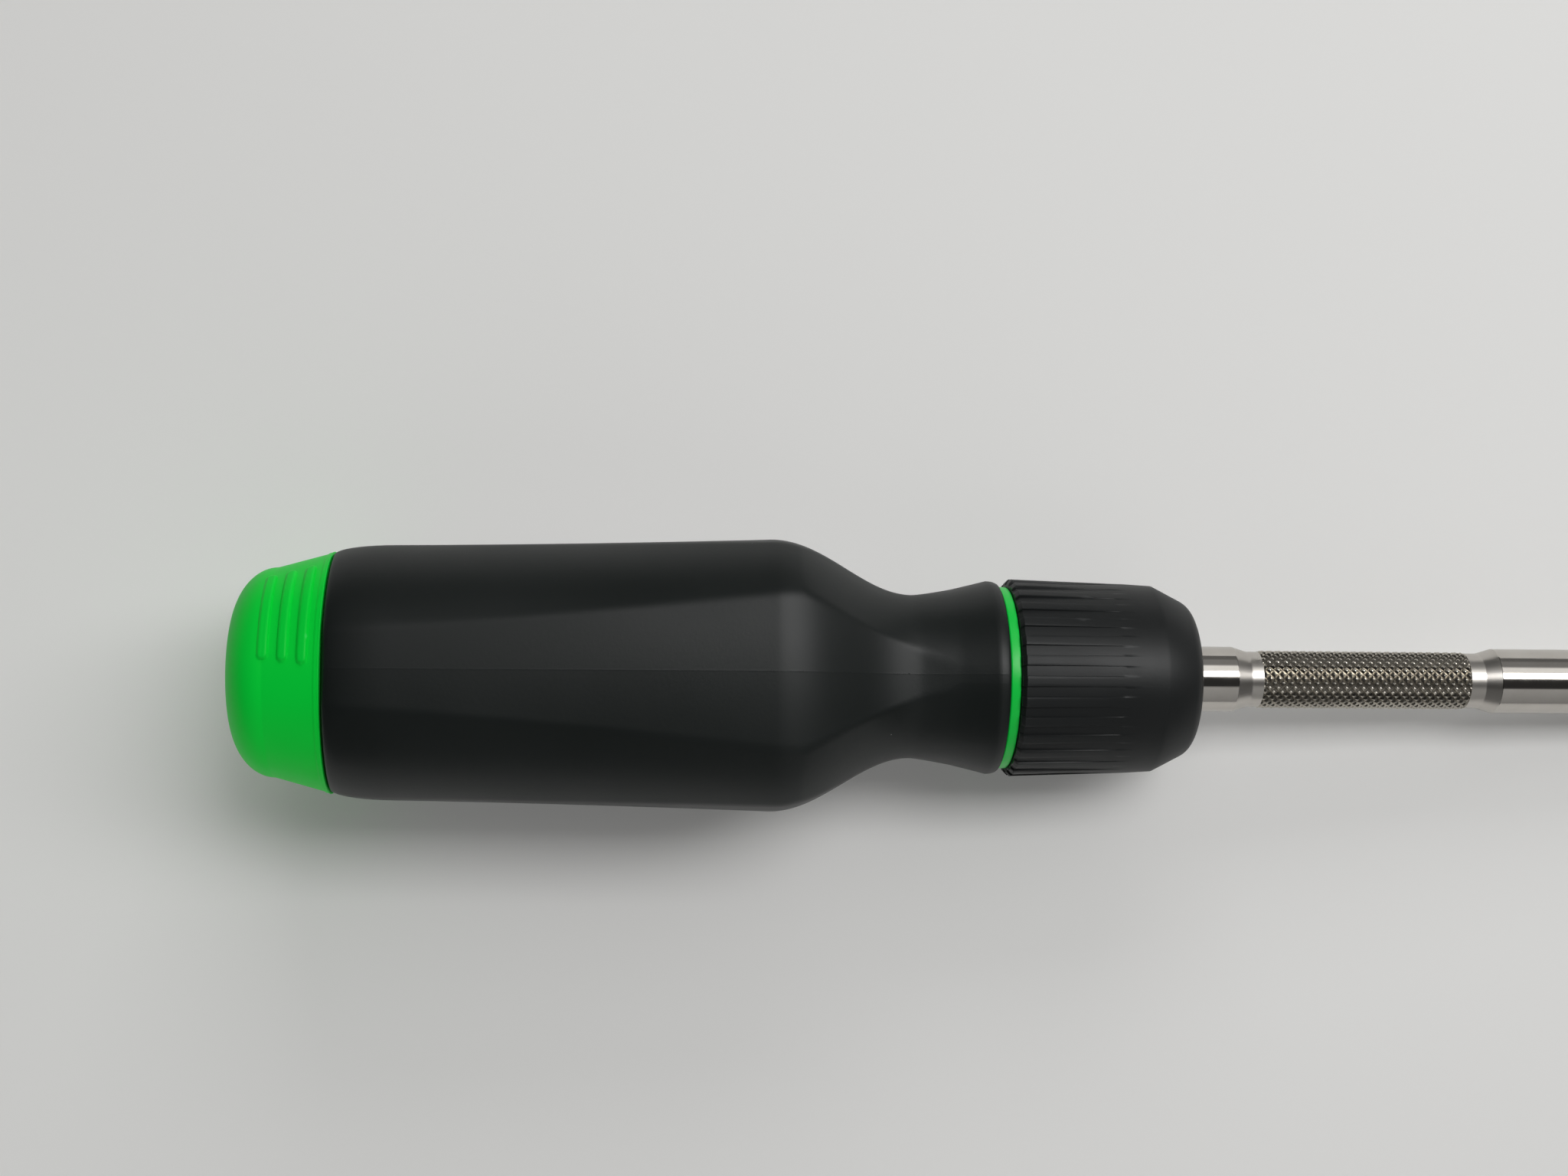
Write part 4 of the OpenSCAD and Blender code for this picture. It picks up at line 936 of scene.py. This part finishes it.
def knurlTree(size):
    # A sheet of points wrapped round the axis, raised where two sets of slanting ridges cross
    tree, given, ids = newGeometryTree("knurlMaker", {
        "Radius": "Float", "Depth": "Float", "Start": "Float", "Length": "Float",
        "Diamonds around": "Int", "Diamonds along": "Int", "Points per diamond": "Int", "Finish": "Material"})

    def calc(operation, *values):
        return mathNode(tree, operation, *values)

    def zigzag(value):
        # From 0 half way between whole numbers to 1 at them; 40 keeps the value above zero
        part = calc("FRACT", calc("ADD", value, 40))
        return calc("MULTIPLY", calc("ABSOLUTE", calc("SUBTRACT", part, 0.5)), 2)

    columns = calc("ADD", calc("MULTIPLY", given["Diamonds around"], given["Points per diamond"]), 1)
    rows = calc("ADD", calc("MULTIPLY", given["Diamonds along"], given["Points per diamond"]), 3)
    grid = tree.nodes.new("GeometryNodeMeshGrid")
    for label, value in (("Vertices X", columns), ("Vertices Y", rows), ("Size X", 1), ("Size Y", 1)):
        feed(tree, grid.inputs[label], value)
    spot = splitVector(tree, tree.nodes.new("GeometryNodeInputPosition").outputs[0])
    around = calc("ADD", spot["X"], 0.5)
    # The first and the last row close the ends; the others run from 0 to 1
    step = calc("DIVIDE", 1, calc("SUBTRACT", rows, 1))
    low = calc("SUBTRACT", calc("ADD", spot["Y"], 0.5), step)
    full = calc("SUBTRACT", 1, calc("MULTIPLY", step, 2))
    along = calc("MINIMUM", calc("MAXIMUM", calc("DIVIDE", low, full), 0), 1)
    inside = calc("LESS_THAN", calc("ABSOLUTE", spot["Y"]), size["sheetEdge"])
    turns = calc("MULTIPLY", around, given["Diamonds around"])
    pitches = calc("MULTIPLY", along, given["Diamonds along"])
    ridge = calc("MINIMUM", zigzag(calc("ADD", turns, pitches)), zigzag(calc("SUBTRACT", turns, pitches)))
    top = calc("MULTIPLY", calc("MINIMUM", ridge, size["topAt"]), 1 / size["topAt"])
    nearEnd = calc("MINIMUM", along, calc("SUBTRACT", 1, along))
    lip = calc("MINIMUM", calc("MULTIPLY", nearEnd, size["endSlope"]), 1)
    height = calc("MULTIPLY", top, calc("MULTIPLY", given["Depth"], lip))
    radius = calc("ADD", calc("SUBTRACT", given["Radius"], given["Depth"]), height)
    radius = calc("MULTIPLY", radius, inside)
    angle = calc("MULTIPLY", around, 2 * math.pi)
    place = joinVector(
        tree, calc("ADD", given["Start"], calc("MULTIPLY", along, given["Length"])),
        calc("MULTIPLY", radius, calc("COSINE", angle)), calc("MULTIPLY", radius, calc("SINE", angle)))
    move = tree.nodes.new("GeometryNodeSetPosition")
    tree.links.new(grid.outputs["Mesh"], move.inputs["Geometry"])
    tree.links.new(place, move.inputs["Position"])
    merge = tree.nodes.new("GeometryNodeMergeByDistance")
    merge.inputs["Distance"].default_value = size["mergeWithin"] * mm
    tree.links.new(move.outputs[0], merge.inputs[0])
    endTree(tree, given, merge.outputs[0])
    return tree, ids


knurlMesh = runTree("knurlBand", *knurlTree(knurlSize), {
    "Radius": knurlSize["overR"] * mm, "Depth": knurlSize["depth"] * mm,
    "Start": shaftSize["knurlFrom"] * mm, "Length": (shaftSize["knurlTo"] - shaftSize["knurlFrom"]) * mm,
    "Diamonds around": knurlSize["around"], "Diamonds along": knurlSize["along"],
    "Points per diamond": knurlSize["points"], "Finish": finishes["knurlBright"]})
addPiece("knurlBand", knurlMesh, "knurlBright", "shaft")
print("shaft and knurl made")

# Springs: wire coils in place of the CAD springs. A lifting pawl presses its coil together towards the coil's
# outer end; here such a coil only gets a mesh of its own
coilSize = {"r": 0.72, "wireR": 0.15, "pointsPerTurn": 40, "wireSides": 12, "pressedTo": 0.5}
coils = {
    "upperPawlCoil": ("upper_pawl_spring", 4, "upper_pawl_lift"),
    "lowerPawlCoil": ("lower_pawl_spring", 4, "lower_pawl_lift"),
    "detentCoil": ("detent_spring", 3, None),
}


def coilTree(size):
    # A round wire swept along a spiral that stands along Z
    tree, given, ids = newGeometryTree("coilMaker", {
        "Coil radius": "Float", "Wire radius": "Float", "Height": "Float", "Turns": "Float",
        "Foot": "Vector", "Finish": "Material"})
    spiral = tree.nodes.new("GeometryNodeCurveSpiral")
    spiral.inputs["Resolution"].default_value = size["pointsPerTurn"]
    wire = tree.nodes.new("GeometryNodeCurvePrimitiveCircle")
    wire.inputs["Resolution"].default_value = size["wireSides"]
    sweep = tree.nodes.new("GeometryNodeCurveToMesh")
    sweep.inputs["Fill Caps"].default_value = True
    shift = tree.nodes.new("GeometryNodeTransform")
    for source, socket in (
            (given["Turns"], spiral.inputs["Rotations"]), (given["Height"], spiral.inputs["Height"]),
            (given["Coil radius"], spiral.inputs["Start Radius"]),
            (given["Coil radius"], spiral.inputs["End Radius"]),
            (given["Wire radius"], wire.inputs["Radius"]), (given["Foot"], shift.inputs["Translation"]),
            (spiral.outputs[0], sweep.inputs["Curve"]), (wire.outputs[0], sweep.inputs["Profile Curve"]),
            (sweep.outputs[0], shift.inputs["Geometry"])):
        tree.links.new(source, socket)
    endTree(tree, given, shift.outputs[0])
    return tree, ids


coilMaker, coilIds = coilTree(coilSize)
wireR = coilSize["wireR"] * mm
for name, (node, turns, joint) in coils.items():
    low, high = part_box(node)
    middle = (low + high) / 2
    mesh = runTree(name, coilMaker, coilIds, {
        "Coil radius": coilSize["r"] * mm, "Wire radius": wireR, "Height": high.z - low.z - 2 * wireR,
        "Turns": float(turns), "Foot": (middle.x, middle.y, low.z + wireR),
        "Finish": finishes["springSteel"]})
    mesh.shade_smooth()
    coil = addPiece(name, mesh, "springSteel", "handle", [node])
    if joint:
        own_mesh(coil)
print("springs made")

# Flash beads: tiny nubs of plastic left along the grip's parting line
beadSize = {
    "count": 16, "from": 54.0, "to": 78.0, "radius": 0.07, "smallest": 0.5, "largest": 1.1,
    "fineness": 2, "raised": 0.5, "scatter": 0.03, "seed": 4,
}


def beadTree(size):
    tree, given, ids = newGeometryTree(
        "beadMaker", {"Bead radius": "Float", "Seed": "Int", "Finish": "Material"})
    bead = tree.nodes.new("GeometryNodeMeshIcoSphere")
    bead.inputs["Subdivisions"].default_value = size["fineness"]
    sizes = tree.nodes.new("FunctionNodeRandomValue")
    sizes.data_type = "FLOAT"
    sizes.inputs[2].default_value = size["smallest"]
    sizes.inputs[3].default_value = size["largest"]
    put = tree.nodes.new("GeometryNodeInstanceOnPoints")
    for source, socket in (
            (given["Bead radius"], bead.inputs["Radius"]), (given["Seed"], sizes.inputs["Seed"]),
            (given["Geometry"], put.inputs["Points"]), (bead.outputs["Mesh"], put.inputs["Instance"]),
            (sizes.outputs[1], put.inputs["Scale"])):
        tree.links.new(source, socket)
    endTree(tree, given, put.outputs[0])
    return tree, ids


def beadStart(size):
    # Random points on the two parting lines, above and below the axis
    chance = random.Random(size["seed"])
    points = []
    for side, sign in ((90, 1), (270, -1)):
        for _ in range(size["count"]):
            u = chance.uniform(size["from"], size["to"])
            r = gripRadius(u, side, gripSize) + gripSize["lineHeight"] * size["raised"]
            y = chance.uniform(-size["scatter"], size["scatter"])
            points.append(((places["gripRear"] + u) * mm, y * mm, sign * r * mm))
    mesh = bpy.data.meshes.new("beadPoints")
    mesh.from_pydata(points, [], [])
    return mesh


beadMesh = runTree("flashBeads", *beadTree(beadSize), {
    "Bead radius": beadSize["radius"] * mm, "Seed": beadSize["seed"], "Finish": finishes["gripBlack"],
}, beadStart(beadSize))
beadMesh.shade_smooth()
addPiece("flashBeads", beadMesh, "gripBlack", "handle")

# Pieces that keep their CAD shape get their finishes
keptFinishes = {
    "carrierBlack": ["bit_carrier"],
    "sealRubber": ["carrier_seal"],
    "bitSteel": [
        "driver_bit", "stored_slot_small", "stored_slot_large", "stored_cross_small",
        "stored_cross_large", "stored_square", "stored_star"],
    "castGrey": ["ratchet_housing", "housing_cover"],
    "bushBronze": ["rear_bush", "thrust_washer", "front_bushing"],
    "pinSteel": ["pawl_pins", "cover_pins"],
    "hardSteel": ["upper_pawl", "lower_pawl", "ratchet_gear", "cam_ring"],
    "springSteel": ["collar_retainer", "shaft_clip"],
    "ballSteel": ["detent_ball"],
    "magnetNickel": ["bit_magnet"],
}
for finish, names in keptFinishes.items():
    for name in names:
        node = cadNodes[name]
        node.data.materials.clear()
        node.data.materials.append(finishes[finish])
print("finishes given to the inner pieces")
